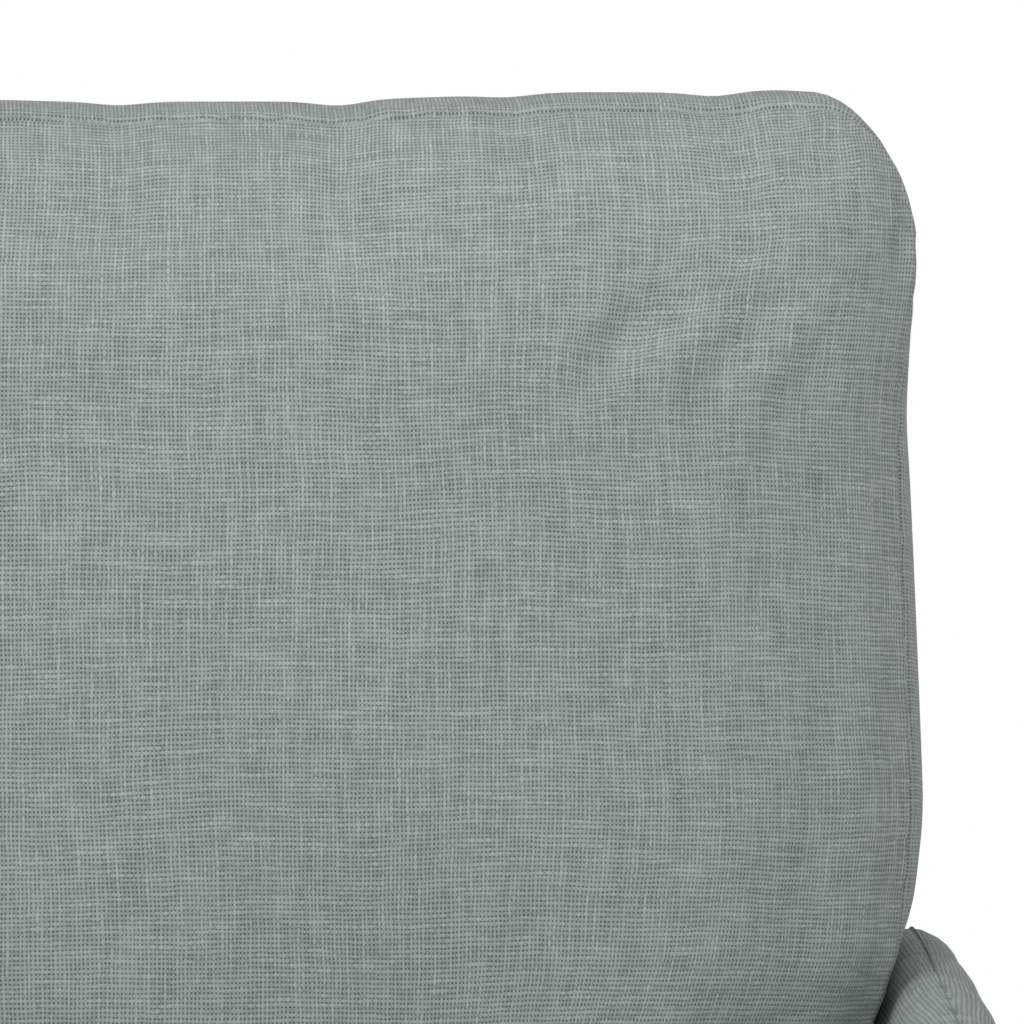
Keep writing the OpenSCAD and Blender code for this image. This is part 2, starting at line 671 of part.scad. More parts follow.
webbing_z0 = lumbar_z + back_rail_h / 2;
webbing_z1 = post_top - back_rail_h - webbing_w / 2;
module back_webbing() color(web_black) in_back() for (i = [0 : webbing_count - 1])
    let (z = webbing_z0 + (webbing_z1 - webbing_z0) * i / (webbing_count - 1))
    span([-frame_half_w + 2, post_front - webbing_t, z], [frame_half_w - 2, post_front, z + webbing_w]);

// Outline of the back seen from behind: narrow between the arms, wider above them
module back_outline() {
    translate([-half_w + 2, 0]) square([2 * half_w - 4, ear_z + 20]);
    translate([-outer_back_half_w, ear_z]) square([2 * outer_back_half_w, outer_back_top - back_corner - ear_z]);
    translate([-outer_back_half_w + back_corner, ear_z])
        square([2 * (outer_back_half_w - back_corner), outer_back_top - ear_z]);
    for (x = [-1, 1]) translate([x * (outer_back_half_w - back_corner), outer_back_top - back_corner])
        circle(r = back_corner);
}

// Heights between which the side rails and the arm blocks pass through the outer back's sides
side_notches = [
    [back_zp(rail_lap, wood_z) - 4, back_meets_deck(rail_lap, 0) + 4],
    for (z = block_z) [z - 2, z + block_h + 2]
];

module outer_back() color(linen_grey) in_back() difference() {
    rotate([90, 0, 0]) linear_extrude(back_frame_t) back_outline();
    span([-frame_half_w, -back_frame_t - 1, -1], [frame_half_w, -back_pad_t, post_top]);
    both_sides() for (notch = side_notches)
        span([frame_half_w - 1, -back_frame_t - 1, notch[0]], [half_w, post_front + block_d + 2, notch[1]]);
}

module front_apron() color(linen_grey)
    yz_plate(-half_w + 2, half_w - 2) round_rect([apron_y, body_z], [apron_y + apron_t, deck_z - 2], apron_t / 3);

// ---- Cushions ----

seat_cushion_x = half_w - cushion_gap;
module seat_cushion() color(linen_grey) in_seat() soft_block(
    [-seat_cushion_x, -2, 0.3],
    [seat_cushion_x, deck_length(-back_frame_t) - 2, seat_cushion_t], seat_round);

back_cushion_z0 = back_meets_deck(cushion_back_y - back_cushion_t, seat_cushion_t) + cushion_gap
    + back_cushion_t * tan(rake - seat_tilt);
back_cushion_front = cushion_back_y - back_cushion_t;
back_cushion_half_w = half_w + back_overhang;
module back_cushion() color(linen_grey) in_back() intersection() {
    translate([0, cushion_back_y, 0]) rotate([90, 0, 0]) linear_extrude(back_cushion_t) {
        round_rect([-back_cushion_half_w, ear_z], [back_cushion_half_w, back_cushion_top], back_round);
        translate([-seat_cushion_x, back_cushion_z0])
            square([2 * seat_cushion_x, ear_z + back_round - back_cushion_z0]);
    }
    yz_plate(-back_cushion_half_w - 1, back_cushion_half_w + 1) round_rect(
        [back_cushion_front, back_cushion_z0], [cushion_back_y, back_cushion_top], back_round);
}

base_ring();
base_glides();
bearing_lower_plate();
bearing_balls();
ball_cage();
kingpin_bolt();
kingpin_washer();
kingpin_nut();
bearing_upper_plate();
kingpin_bush();
carrier_frame();
carrier_bolts();
upright(1);  // upright_left
upright(-1);  // upright_right
hanger_upper_rivets();
stop_bumpers();
hanger(1, -pivot_y);  // hanger_front_left
hanger(-1, -pivot_y);  // hanger_front_right
bushes(-pivot_y);  // front_bushes
hanger(1, pivot_y);  // hanger_rear_left
hanger(-1, pivot_y);  // hanger_rear_right
bushes(pivot_y);  // rear_bushes
swing_bracket(1);  // swing_bracket_left
swing_bracket(-1);  // swing_bracket_right
hanger_lower_rivets();
bracket_bolts();
platform_bar(-platform_y);  // platform_bar_front
platform_bar(platform_y);  // platform_bar_rear
platform_bolts();
side_rail(1);  // side_rail_left
side_rail(-1);  // side_rail_right
front_rail();
rear_rail();
corner_blocks();
frame_screws();
seat_springs();
spring_clips();
seat_deck();
dust_cover();
arm_panel(1);  // arm_panel_left
arm_panel(-1);  // arm_panel_right
arm_blocks();
back_post(1);  // back_post_left
back_post(-1);  // back_post_right
back_cross_rail(post_top - back_rail_h);  // back_top_rail
back_cross_rail(lumbar_z - back_rail_h);  // back_lumbar_rail
back_cross_rail(post_bottom);  // back_bottom_rail
back_webbing();
arm_upholstery(1);  // arm_upholstery_left
arm_upholstery(-1);  // arm_upholstery_right
outer_back();
front_apron();
seat_cushion();
back_cushion();
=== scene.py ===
import math

import bpy
import numpy as np
from bpy.props import FloatProperty, FloatVectorProperty, PointerProperty
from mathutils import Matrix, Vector


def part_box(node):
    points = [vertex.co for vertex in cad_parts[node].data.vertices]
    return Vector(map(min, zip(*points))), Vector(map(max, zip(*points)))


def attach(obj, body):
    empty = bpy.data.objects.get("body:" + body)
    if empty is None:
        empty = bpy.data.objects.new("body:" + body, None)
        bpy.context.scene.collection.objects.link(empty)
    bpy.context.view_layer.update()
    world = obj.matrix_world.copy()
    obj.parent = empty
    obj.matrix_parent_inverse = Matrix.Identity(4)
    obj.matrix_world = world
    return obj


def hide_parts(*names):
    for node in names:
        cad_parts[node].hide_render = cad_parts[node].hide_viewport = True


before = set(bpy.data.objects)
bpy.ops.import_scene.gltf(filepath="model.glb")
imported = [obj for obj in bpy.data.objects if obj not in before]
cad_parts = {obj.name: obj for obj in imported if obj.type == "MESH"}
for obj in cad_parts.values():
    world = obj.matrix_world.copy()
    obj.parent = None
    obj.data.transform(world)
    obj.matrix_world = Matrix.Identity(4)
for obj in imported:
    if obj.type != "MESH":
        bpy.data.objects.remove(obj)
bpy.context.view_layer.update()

bl_info = {
    "name": "Glider nursery chair looks",
    "version": (1, 0, 0),
    "blender": (4, 5, 0),
    "location": "3D View > Sidebar > Glider",
    "description": "Builds the covers, padding, finishes and studio around the packed chair",
    "category": "Object",
}

BODY = "seat"
LINEN = "linen_weave"
# the fronts of the arms, the padded body's underside, and the plane that the seat cushion lies on
FRONT_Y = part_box("arm_upholstery_right")[0].y
BODY_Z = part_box("outer_back")[0].z
DECK_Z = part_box("front_apron")[1].z + 0.002
# each cover's seams, filled in as the covers are made
SEAMS = {}
# distances from a seam of the extra grid lines that shape its groove
NEAR_SEAM = (0.0011, 0.0027, 0.0050, 0.0072, 0.0098, 0.0135)
# how far from a seam its groove and its puckers reach
GROOVE_REACH, PUCKER_REACH = 0.0024, 0.011
# grid step of a cover while its cloth settles, and the frames that this takes
SIM_STEP, SIM_FRAMES = 0.009, 20

# ---- Shapes ----


def smooth(x, low, high):
    """0 below low, 1 above high, and an even turn between them."""
    t = np.clip((x - low) / (high - low), 0, 1)
    return t * t * (3 - 2 * t)


def round_edge(t):
    """Quarter-ellipse rise of padding from its seam, for t from 0 at the seam to 1."""
    return np.sqrt(1 - (1 - np.clip(t, 0, 1)) ** 2)


def even_points(line, fractions):
    """Points of a polyline at fractions of its length."""
    steps = np.linalg.norm(np.diff(line, axis=0), axis=1)
    length = np.concatenate([[0], np.cumsum(steps)])
    return np.stack([np.interp(fractions * length[-1], length, line[:, k]) for k in range(2)], -1)


def box_corners(left, low, right, high):
    """Corners of an upright box, in the order that round_outline takes."""
    return [(left, low), (right, low), (right, high), (left, high)]


def round_outline(corners, radii, top=None):
    """Four edges of a closed outline, from its corners in the order front-low, rear-low, rear-high,
    front-high, each rounded by (radius along the edge before it, radius along the edge after it).
    top is an optional function that bows the upper edge."""
    corners = [np.array(c, float) for c in corners]
    edges, arcs = [], []
    for k, corner in enumerate(corners):
        before, after = corners[k - 1], corners[(k + 1) % 4]
        into = (corner - before) / np.linalg.norm(corner - before)
        out = (after - corner) / np.linalg.norm(after - corner)
        turn = np.linspace(0, math.pi / 2, 33)[:, None]
        arcs.append(corner + radii[k][0] * (np.sin(turn) - 1) * into + radii[k][1] * (1 - np.cos(turn)) * out)
    for k in range(4):
        start, end = arcs[k], arcs[(k + 1) % 4]
        straight = start[-1] + (end[0] - start[-1]) * np.linspace(0, 1, 81)[1:-1, None]
        edges.append(np.concatenate([start[16:], straight, end[:17]]))
    if top is not None:
        for edge in edges:
            edge[:, 1] += top(edge[:, 0]) * smooth(edge[:, 1], corners[0][1], corners[2][1])
    return edges


class Panel:
    """One face of a cover: a height field over a rounded outline.
    crown is the height of the padding over its seam, and reach is how far in from the left, right,
    lower and upper edges the padding takes to reach it. dome is a further soft rise in the middle."""

    def __init__(self, edges, crown, reach, dome=0.0, extra=None, top_edge=round_edge):
        self.edges, self.crown, self.reach, self.dome, self.extra = edges, crown, reach, dome, extra
        self.profiles = (round_edge, round_edge, round_edge, top_edge)
        low, right, high, left = edges[0], edges[1], edges[2], edges[3]
        ring = np.concatenate([low, right, high, left])
        self.low_corner, self.high_corner = ring.min(0), ring.max(0)
        self.middle = (self.low_corner + self.high_corner) / 2
        k = int(np.argmin(ring[:, 0] + 1e-6 * np.abs(ring[:, 1] - self.middle[1])))
        ring = np.roll(ring, -k, axis=0)
        far = int(np.argmax(ring[:, 0] - 1e-6 * np.abs(ring[:, 1] - self.middle[1])))
        self.below = self.chain(ring[:far + 1], 0)
        self.above = self.chain(ring[far:][::-1], 0)
        k = int(np.argmin(ring[:, 1] + 1e-6 * np.abs(ring[:, 0] - self.middle[0])))
        ring = np.roll(ring, -k, axis=0)
        far = int(np.argmax(ring[:, 1] - 1e-6 * np.abs(ring[:, 0] - self.middle[0])))
        self.after = self.chain(ring[:far + 1], 1)
        self.before = self.chain(ring[far:][::-1], 1)

    def chain(self, points, axis):
        run = np.maximum.accumulate(points[:, axis]) + np.arange(len(points)) * 1e-9
        return run, points[:, 1 - axis]

    def margins(self, a, b):
        """Distances in from the left, right, lower and upper edges."""
        return [
            np.maximum(a - np.interp(b, *self.before), 0),
            np.maximum(np.interp(b, *self.after) - a, 0),
            np.maximum(b - np.interp(a, *self.below), 0),
            np.maximum(np.interp(a, *self.above) - b, 0),
        ]

    def height(self, a, b):
        sides = self.margins(a, b)
        rise = np.full(np.shape(a), self.crown)
        for distance, reach, profile in zip(sides, self.reach, self.profiles):
            rise = rise * profile(distance / reach)
        across = (sides[0] - sides[1]) / (sides[0] + sides[1] + 1e-9)
        up = (sides[2] - sides[3]) / (sides[2] + sides[3] + 1e-9)
        rise = rise + self.dome * (1 - across ** 2) * (1 - up ** 2)
        return rise if self.extra is None else self.extra(a, b, rise)

    def grid(self, u, v):
        """Plan positions of a Coons patch over the outline."""
        low, high = even_points(self.edges[0], u), even_points(self.edges[2][::-1], u)
        left, right = even_points(self.edges[3][::-1], v), even_points(self.edges[1], v)
        u, v = u[:, None, None], v[None, :, None]
        blend = (1 - v) * low[:, None] + v * high[:, None] + (1 - u) * left[None] + u * right[None]
        return (blend - (1 - u) * (1 - v) * low[0] - u * (1 - v) * low[-1]
                - (1 - u) * v * high[0] - u * v * high[-1])

    def cloth(self, a, b):
        """Each point's place on the cloth, by lengths over the padding, so that no thread is stretched."""
        share = 1 - (1 - np.linspace(0, 1, 40)) ** 2
        out = []
        for axis in (0, 1):
            spot, start = (a, b)[axis], self.middle[axis]
            run = start + (spot[..., None] - start) * share
            still = (b, a)[axis][..., None] + 0 * run
            rise = self.height(run, still) if axis == 0 else self.height(still, run)
            length = np.sqrt(np.diff(run) ** 2 + np.diff(rise) ** 2).sum(-1)
            out.append(start + np.sign(spot - start) * length)
        return np.stack(out, -1)

    def lines(self, axis, step, near_seam=()):
        """Fractions across the panel whose grid lines are evenly spaced along the padding's surface."""
        width = self.high_corner[axis] - self.low_corner[axis]
        reach = self.reach[2 * axis], self.reach[2 * axis + 1]
        x = np.linspace(0, 1, 4001)
        x = (1 - np.cos(math.pi * x)) / 2 * width
        near, far = self.profiles[2 * axis:2 * axis + 2]
        rise = self.crown * near(x / reach[0]) * far((width - x) / reach[1])
        length = np.concatenate([[0], np.cumsum(np.hypot(np.diff(x), np.diff(rise)))])
        count = max(4, int(round(length[-1] / step)))
        spots = np.linspace(0, length[-1], count + 1)
        if len(near_seam):
            total, last = length[-1], near_seam[-1]
            inner = spots[(spots > last + step / 2) & (spots < total - last - step / 2)]
            spots = np.concatenate([[0], near_seam, inner, total - np.array(near_seam)[::-1], [total]])
        return np.interp(spots, length, x) / width


def cubic_weights(count, spots, closed=False):
    """Catmull-Rom weights that take values on count grid lines to spots between them."""
    weights = np.zeros((len(spots), count))
    for row, spot in enumerate(spots):
        k = int(math.floor(spot)) if closed else min(int(math.floor(spot)), count - 2)
        t = spot - k
        shares = [(-t ** 3 + 2 * t ** 2 - t) / 2, (3 * t ** 3 - 5 * t ** 2 + 2) / 2,
                  (-3 * t ** 3 + 4 * t ** 2 + t) / 2, (t ** 3 - t ** 2) / 2]
        for offset, share in zip((-1, 0, 1, 2), shares):
            at = (k + offset) % count if closed else min(max(k + offset, 0), count - 1)
            weights[row, at] += share
    return weights


def rim(grid):
    """Boundary of a grid, once round from its first corner."""
    return np.concatenate([grid[:-1, 0], grid[-1, :-1], grid[:0:-1, -1], grid[0, :0:-1]])


def quads(index, closed=False):
    """Faces of a grid of vertex numbers."""
    if closed:
        index = np.concatenate([index, index[:1]])
    return np.stack([index[:-1, :-1], index[1:, :-1], index[1:, 1:], index[:-1, 1:]], -1).reshape(-1, 4)


class Cover:
    """A sewn cover: a front and a rear panel over one outline, joined by a strip or by one seam.
    front and rear are the two seams' places on the axis c, and place takes (a, b, c) to the frame.
    bulge gives how far the strip stands out, and warp moves points in plan."""

    def __init__(self, name, front_panel, rear_panel, front, rear, place, bulge=None, warp=None,
                 detail=None, groove=0.0016, pucker=0.0004, drawn=None):
        self.name, self.panels, self.seams, self.place = name, (front_panel, rear_panel), (front, rear), place
        self.bulge, self.warp, self.detail, self.groove, self.pucker = bulge, warp, detail, groove, pucker
        self.drawn = drawn or (lambda a, b: 1.0 + 0 * a)
        self.strip = abs(rear - front) > 1e-6

    def layout(self, step, near_seam=()):
        """Vertex numbers of both panels and the strip, with their parameters."""
        self.u = self.panels[0].lines(0, step, near_seam)
        self.v = self.panels[0].lines(1, step, near_seam)
        nu, nv = len(self.u), len(self.v)
        front = np.arange(nu * nv).reshape(nu, nv)
        rear = np.full((nu, nv), -1)
        total = nu * nv
        inner = (nu - 2) * (nv - 2)
        rear[1:-1, 1:-1] = total + np.arange(inner).reshape(nu - 2, nv - 2)
        total += inner
        ring = rim(front)
        spots = [0.0, 1.0]
        if self.strip:
            depth = abs(self.seams[1] - self.seams[0])
            count = max(2, int(round(depth / step)))
            spots = list(np.linspace(0, 1, count + 1))
            if len(near_seam):
                edge = [s / depth for s in near_seam if s < 0.3 * depth]
                spots = sorted({0.0, 1.0, *edge, *(1 - e for e in edge),
                                *(s for s in spots if edge[-1] * 1.3 < s < 1 - edge[-1] * 1.3)})
            far = total + np.arange(len(ring))
            total += len(ring)
        else:
            far = ring
        self.w = np.array(spots)
        side = np.zeros((len(ring), len(self.w)), int)
        side[:, 0], side[:, -1] = ring, far
        for m in range(1, len(self.w) - 1):
            side[:, m] = total + np.arange(len(ring))
            total += len(ring)
        rear[:-1, 0], rear[-1, :-1] = far[:nu - 1], far[nu - 1:nu + nv - 2]
        rear[:0:-1, -1], rear[0, :0:-1] = far[nu + nv - 2:2 * nu + nv - 3], far[2 * nu + nv - 3:]
        self.index, self.total = (front, rear, side), total

    def shape(self, fine):
        """Positions (a, b, c) of every vertex, and each patch's place on the cloth."""
        points = np.zeros((self.total, 3))
        cloths = []
        toward = np.sign(self.seams[0] - self.seams[1]) if self.strip else -1.0
        for k, panel in enumerate(self.panels):
            plan = self.panels[0].grid(self.u, self.v)
            a, b = plan[..., 0], plan[..., 1]
            rise = panel.height(a, b)
            cloths.append(panel.cloth(a, b) if fine else plan)
            out = toward if k == 0 else -toward
            flat = np.stack([a, b, self.seams[k] + out * rise], -1)
            if fine:
                flat = self.sewn(panel, flat, rise, out)
            points[self.index[k]] = flat
        ring = rim(self.panels[0].grid(self.u, self.v))
        ahead, back = np.roll(ring, -1, axis=0), np.roll(ring, 1, axis=0)
        along = ahead - back
        normal = np.stack([along[:, 1], -along[:, 0]], -1) / np.linalg.norm(along, axis=1)[:, None]
        length = np.concatenate([[0], np.cumsum(np.linalg.norm(np.diff(ring, axis=0), axis=1))])
        self.ring, self.normal, self.length = ring, normal, length
        if self.strip:
            depth = abs(self.seams[1] - self.seams[0])
            for m, w in enumerate(self.w[1:-1], 1):
                c = self.seams[0] + (self.seams[1] - self.seams[0]) * w
                arch = (4 * w * (1 - w)) ** 0.62
                stand = self.bulge(ring[:, 0], ring[:, 1]) * arch
                if fine:
                    near = min(w, 1 - w) * depth
                    stand = stand - self.groove * self.drawn(*ring.T) * math.exp(-(near / GROOVE_REACH) ** 2)
                    pulled = math.exp(-(near / PUCKER_REACH) ** 2)
                    stand = stand + self.ripple(ring[:, 0], ring[:, 1], length) * pulled
                spot = ring + normal * stand[:, None]
                points[self.index[2][:, m]] = np.concatenate([spot, np.full((len(ring), 1), c)], 1)
            cloths.append(np.stack(np.broadcast_arrays(
                np.append(length, length[-1] + np.linalg.norm(ring[0] - ring[-1]))[:, None],
                (self.w * depth)[None]), -1) + 0.3)
        if self.warp is not None and fine:
            points[:, 0], points[:, 1] = self.warp(points[:, 0], points[:, 1])
        return points, cloths

    def ripple(self, a, b, along):
        """Small uneven puckers that a stitched seam pulls into the cloth: two uneven waves, 13 and 22 mm
        long, that come and go along the seam."""
        wave = np.sin(along * 2 * math.pi / 0.0131 + 3 * np.sin(along * 37)) * 0.6
        wave = wave + np.sin(along * 2 * math.pi / 0.0217 + 2 * np.sin(along * 23 + 1)) * 0.8
        return self.pucker * wave * (0.6 + 0.4 * np.sin(along * 19 + 2))

    def sewn(self, panel, flat, rise, out):
        """Adds the seam's groove and puckers, and the panel's own creases."""
        a, b = flat[..., 0], flat[..., 1]
        sides = panel.margins(a, b)
        pull = [1 / (s + 0.002) ** 2 for s in sides]
        nx, ny = pull[1] - pull[0], pull[3] - pull[2]
        size = np.hypot(nx, ny) + 1e-9
        near = np.hypot(np.minimum(np.minimum(sides[0], sides[1]), np.minimum(sides[2], sides[3])), rise)
        along = np.where(np.abs(ny) > np.abs(nx), a + 3.1, b + 5.7)
        move = -self.groove * np.exp(-(near / GROOVE_REACH) ** 2)
        move = (move + self.ripple(a, b, along) * np.exp(-(near / PUCKER_REACH) ** 2)) * self.drawn(a, b)
        flat = flat.copy()
        flat[..., 0] += nx / size * move
        flat[..., 1] += ny / size * move
        if self.detail is not None:
            flat[..., 2] += out * self.detail(a, b, near)
        return flat

    def faces(self):
        parts = [quads(self.index[0]), quads(self.index[1])[:, ::-1]]
        if self.strip:
            parts.append(quads(self.index[2], True)[:, ::-1])
        return parts

    def build(self, step, near_seam, sim, material):
        """The finished cover as one object."""
        moved = None
        if sim:
            self.layout(SIM_STEP)
            points = self.shape(False)[0]
            world = self.place(*points.T)
            pinned = np.unique(np.concatenate([rim(self.index[0]), rim(self.index[1])]))
            pushed = puff(self.name, world, np.concatenate(self.faces()), pinned, sim)
            moved = [(pushed - world)[k] for k in self.index]
            coarse = self.u, self.v, self.w, self.length
        self.layout(step, near_seam)
        points, cloths = self.shape(True)
        world = self.place(*points.T)
        if moved is not None:
            at_u = cubic_weights(len(coarse[0]), np.interp(self.u, coarse[0], np.arange(len(coarse[0]))))
            at_v = cubic_weights(len(coarse[1]), np.interp(self.v, coarse[1], np.arange(len(coarse[1]))))
            for k in (0, 1):
                world[self.index[k]] += np.einsum("ik,jl,klc->ijc", at_u, at_v, moved[k])
            if self.strip:
                at_w = cubic_weights(len(coarse[2]), np.interp(self.w, coarse[2], np.arange(len(coarse[2]))))
                round_coarse = np.append(coarse[3], coarse[3][-1] + coarse[3][1]) / coarse[3][-1]
                spots = np.interp(self.length / self.length[-1], round_coarse, np.arange(len(round_coarse)))
                at_ring = cubic_weights(len(coarse[3]), spots, True)
                inner = np.einsum("ik,jl,klc->ijc", at_ring, at_w, moved[2])[:, 1:-1]
                world[self.index[2][:, 1:-1]] += inner
        faces, uvs = self.faces(), []
        for k, cloth in enumerate(cloths[:2]):
            numbers = np.arange(cloth[..., 0].size).reshape(cloth.shape[:2])
            order = quads(numbers) if k == 0 else quads(numbers)[:, ::-1]
            uvs.append(cloth.reshape(-1, 2)[order])
        if self.strip:
            numbers = np.arange(cloths[2][..., 0].size).reshape(cloths[2].shape[:2])
            uvs.append(cloths[2].reshape(-1, 2)[quads(numbers)[:, ::-1]])
        made = mesh_object(self.name, world, np.concatenate(faces), np.concatenate(uvs), material)
        ends = [rim(self.index[0])] + ([rim(self.index[1])] if self.strip else [])
        drawn = self.drawn(*self.ring.T)
        SEAMS[self.name] = [(world[e], drawn) for e in ends]
        return made


def mesh_object(name, points, faces, uvs, material):
    """A smooth mesh object with a cloth map, its faces turned outwards."""
    tri = points[faces[:, [0, 1, 2, 0, 2, 3]]].reshape(-1, 3, 3)
    if np.einsum("ij,ij->i", tri[:, 0], np.cross(tri[:, 1], tri[:, 2])).sum() < 0:
        faces, uvs = faces[:, ::-1], uvs[:, ::-1]
    mesh = bpy.data.meshes.new(name)
    mesh.from_pydata(points.tolist(), [], faces.tolist())
    layer = mesh.uv_layers.new(name="cloth")
    layer.data.foreach_set("uv", np.ascontiguousarray(uvs, np.float32).ravel())
    mesh.shade_smooth()
    mesh.materials.append(material)
    made = bpy.data.objects.new(name, mesh)
    bpy.context.scene.collection.objects.link(made)
    return made


def puff(name, points, faces, pinned, sim):
    """Settles a cover with Cloth: pressure fills it, its seams stay put, and spare cloth folds by them."""
    mesh = bpy.data.meshes.new(name + "_sim")
    mesh.from_pydata(points.tolist(), [], faces.tolist())
    made = bpy.data.objects.new(name + "_sim", mesh)
    bpy.context.scene.collection.objects.link(made)
    made.shape_key_add(name="Basis")
    cut = made.shape_key_add(name="cut")
    middle = points.mean(0)
    spare = middle + (points - middle) * (1 + sim["spare"])
    cut.data.foreach_set("co", spare.ravel())
    group = made.vertex_groups.new(name="seams")
    group.add(pinned.tolist(), 1.0, "REPLACE")
    cloth = made.modifiers.new("cloth", "CLOTH")
    settings = cloth.settings
    settings.quality = 6
    settings.mass = 0.3
    settings.tension_stiffness = 14
    settings.compression_stiffness = 12
    settings.shear_stiffness = 4
    settings.bending_stiffness = 0.8
    settings.tension_damping = 12
    settings.compression_damping = 12
    settings.rest_shape_key = cut
    settings.vertex_group_mass = "seams"
    settings.use_pressure = True
    settings.uniform_pressure_force = sim["pressure"]
    settings.effector_weights.gravity = 0
    cloth.collision_settings.use_collision = False
    cloth.collision_settings.use_self_collision = False
    cloth.point_cache.frame_end = SIM_FRAMES
    for number in range(1, SIM_FRAMES + 1):
        bpy.context.scene.frame_set(number)
    seen = made.evaluated_get(bpy.context.evaluated_depsgraph_get())
    pushed = np.empty(len(points) * 3)
    seen.data.vertices.foreach_get("co", pushed)
    bpy.context.scene.frame_set(1)
    bpy.data.objects.remove(made)
    bpy.data.meshes.remove(mesh)
    move = pushed.reshape(-1, 3) - points
    size = np.linalg.norm(move, axis=1, keepdims=True)
    print(f"{name}: cloth moved {1000 * size.max():.1f} mm at most, {1000 * size.mean():.1f} mm on average")
    return points + move * np.minimum(1, sim["cap"] / np.maximum(size, 1e-9))


def in_back(sizes):
    """Takes (across, normal to the outer back, up along it) to the frame."""
    rake, origin = sizes.rake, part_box("outer_back")[0].y + sizes.back_depth * math.cos(sizes.rake)

    def place(a, b, c):
        return np.stack([a, origin + c * math.cos(rake) + b * math.sin(rake),
                         BODY_Z - c * math.sin(rake) + b * math.cos(rake)], -1)
    return place


def in_seat(sizes):
    """Takes (across, back along the deck, up from it) to the frame."""
    tilt = sizes.seat_tilt

    def place(a, b, c):
        return np.stack([a, FRONT_Y + b * math.cos(tilt) + c * math.sin(tilt),
                         DECK_Z - b * math.sin(tilt) + c * math.cos(tilt)], -1)
    return place


def finish_piece(made, slot, *nodes, fill=None):
    """Puts a finished piece on the seat's body in place of its CAD nodes."""
    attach(made, BODY)
    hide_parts(*nodes)
    return made


# ---- Materials ----


def hex_colour(code):
    """sRGB hex to the linear values that shaders take."""
    parts = [int(code[k:k + 2], 16) / 255 for k in (1, 3, 5)]
    return tuple(p / 12.92 if p <= 0.04045 else ((p + 0.055) / 1.055) ** 2.4 for p in parts)


def add(tree, kind, inputs=None, **settings):
    """Adds a node, gives its sockets values or links, and returns it. A short kind is a shader node's."""
    made = tree.nodes.new(kind if "Node" in kind else "ShaderNode" + kind)
    for key, value in settings.items():
        setattr(made, key, value)
    for key, value in (inputs or {}).items():
        if isinstance(value, bpy.types.Node):
            value = value.outputs[0]
        if isinstance(value, bpy.types.NodeSocket):
            tree.links.new(value, made.inputs[key])
        else:
            made.inputs[key].default_value = value
    return made


def new_material(name):
    """An empty material and its node tree."""
    made = bpy.data.materials.new(name)
    made.use_nodes = True
    made.node_tree.nodes.clear()
    return made, made.node_tree


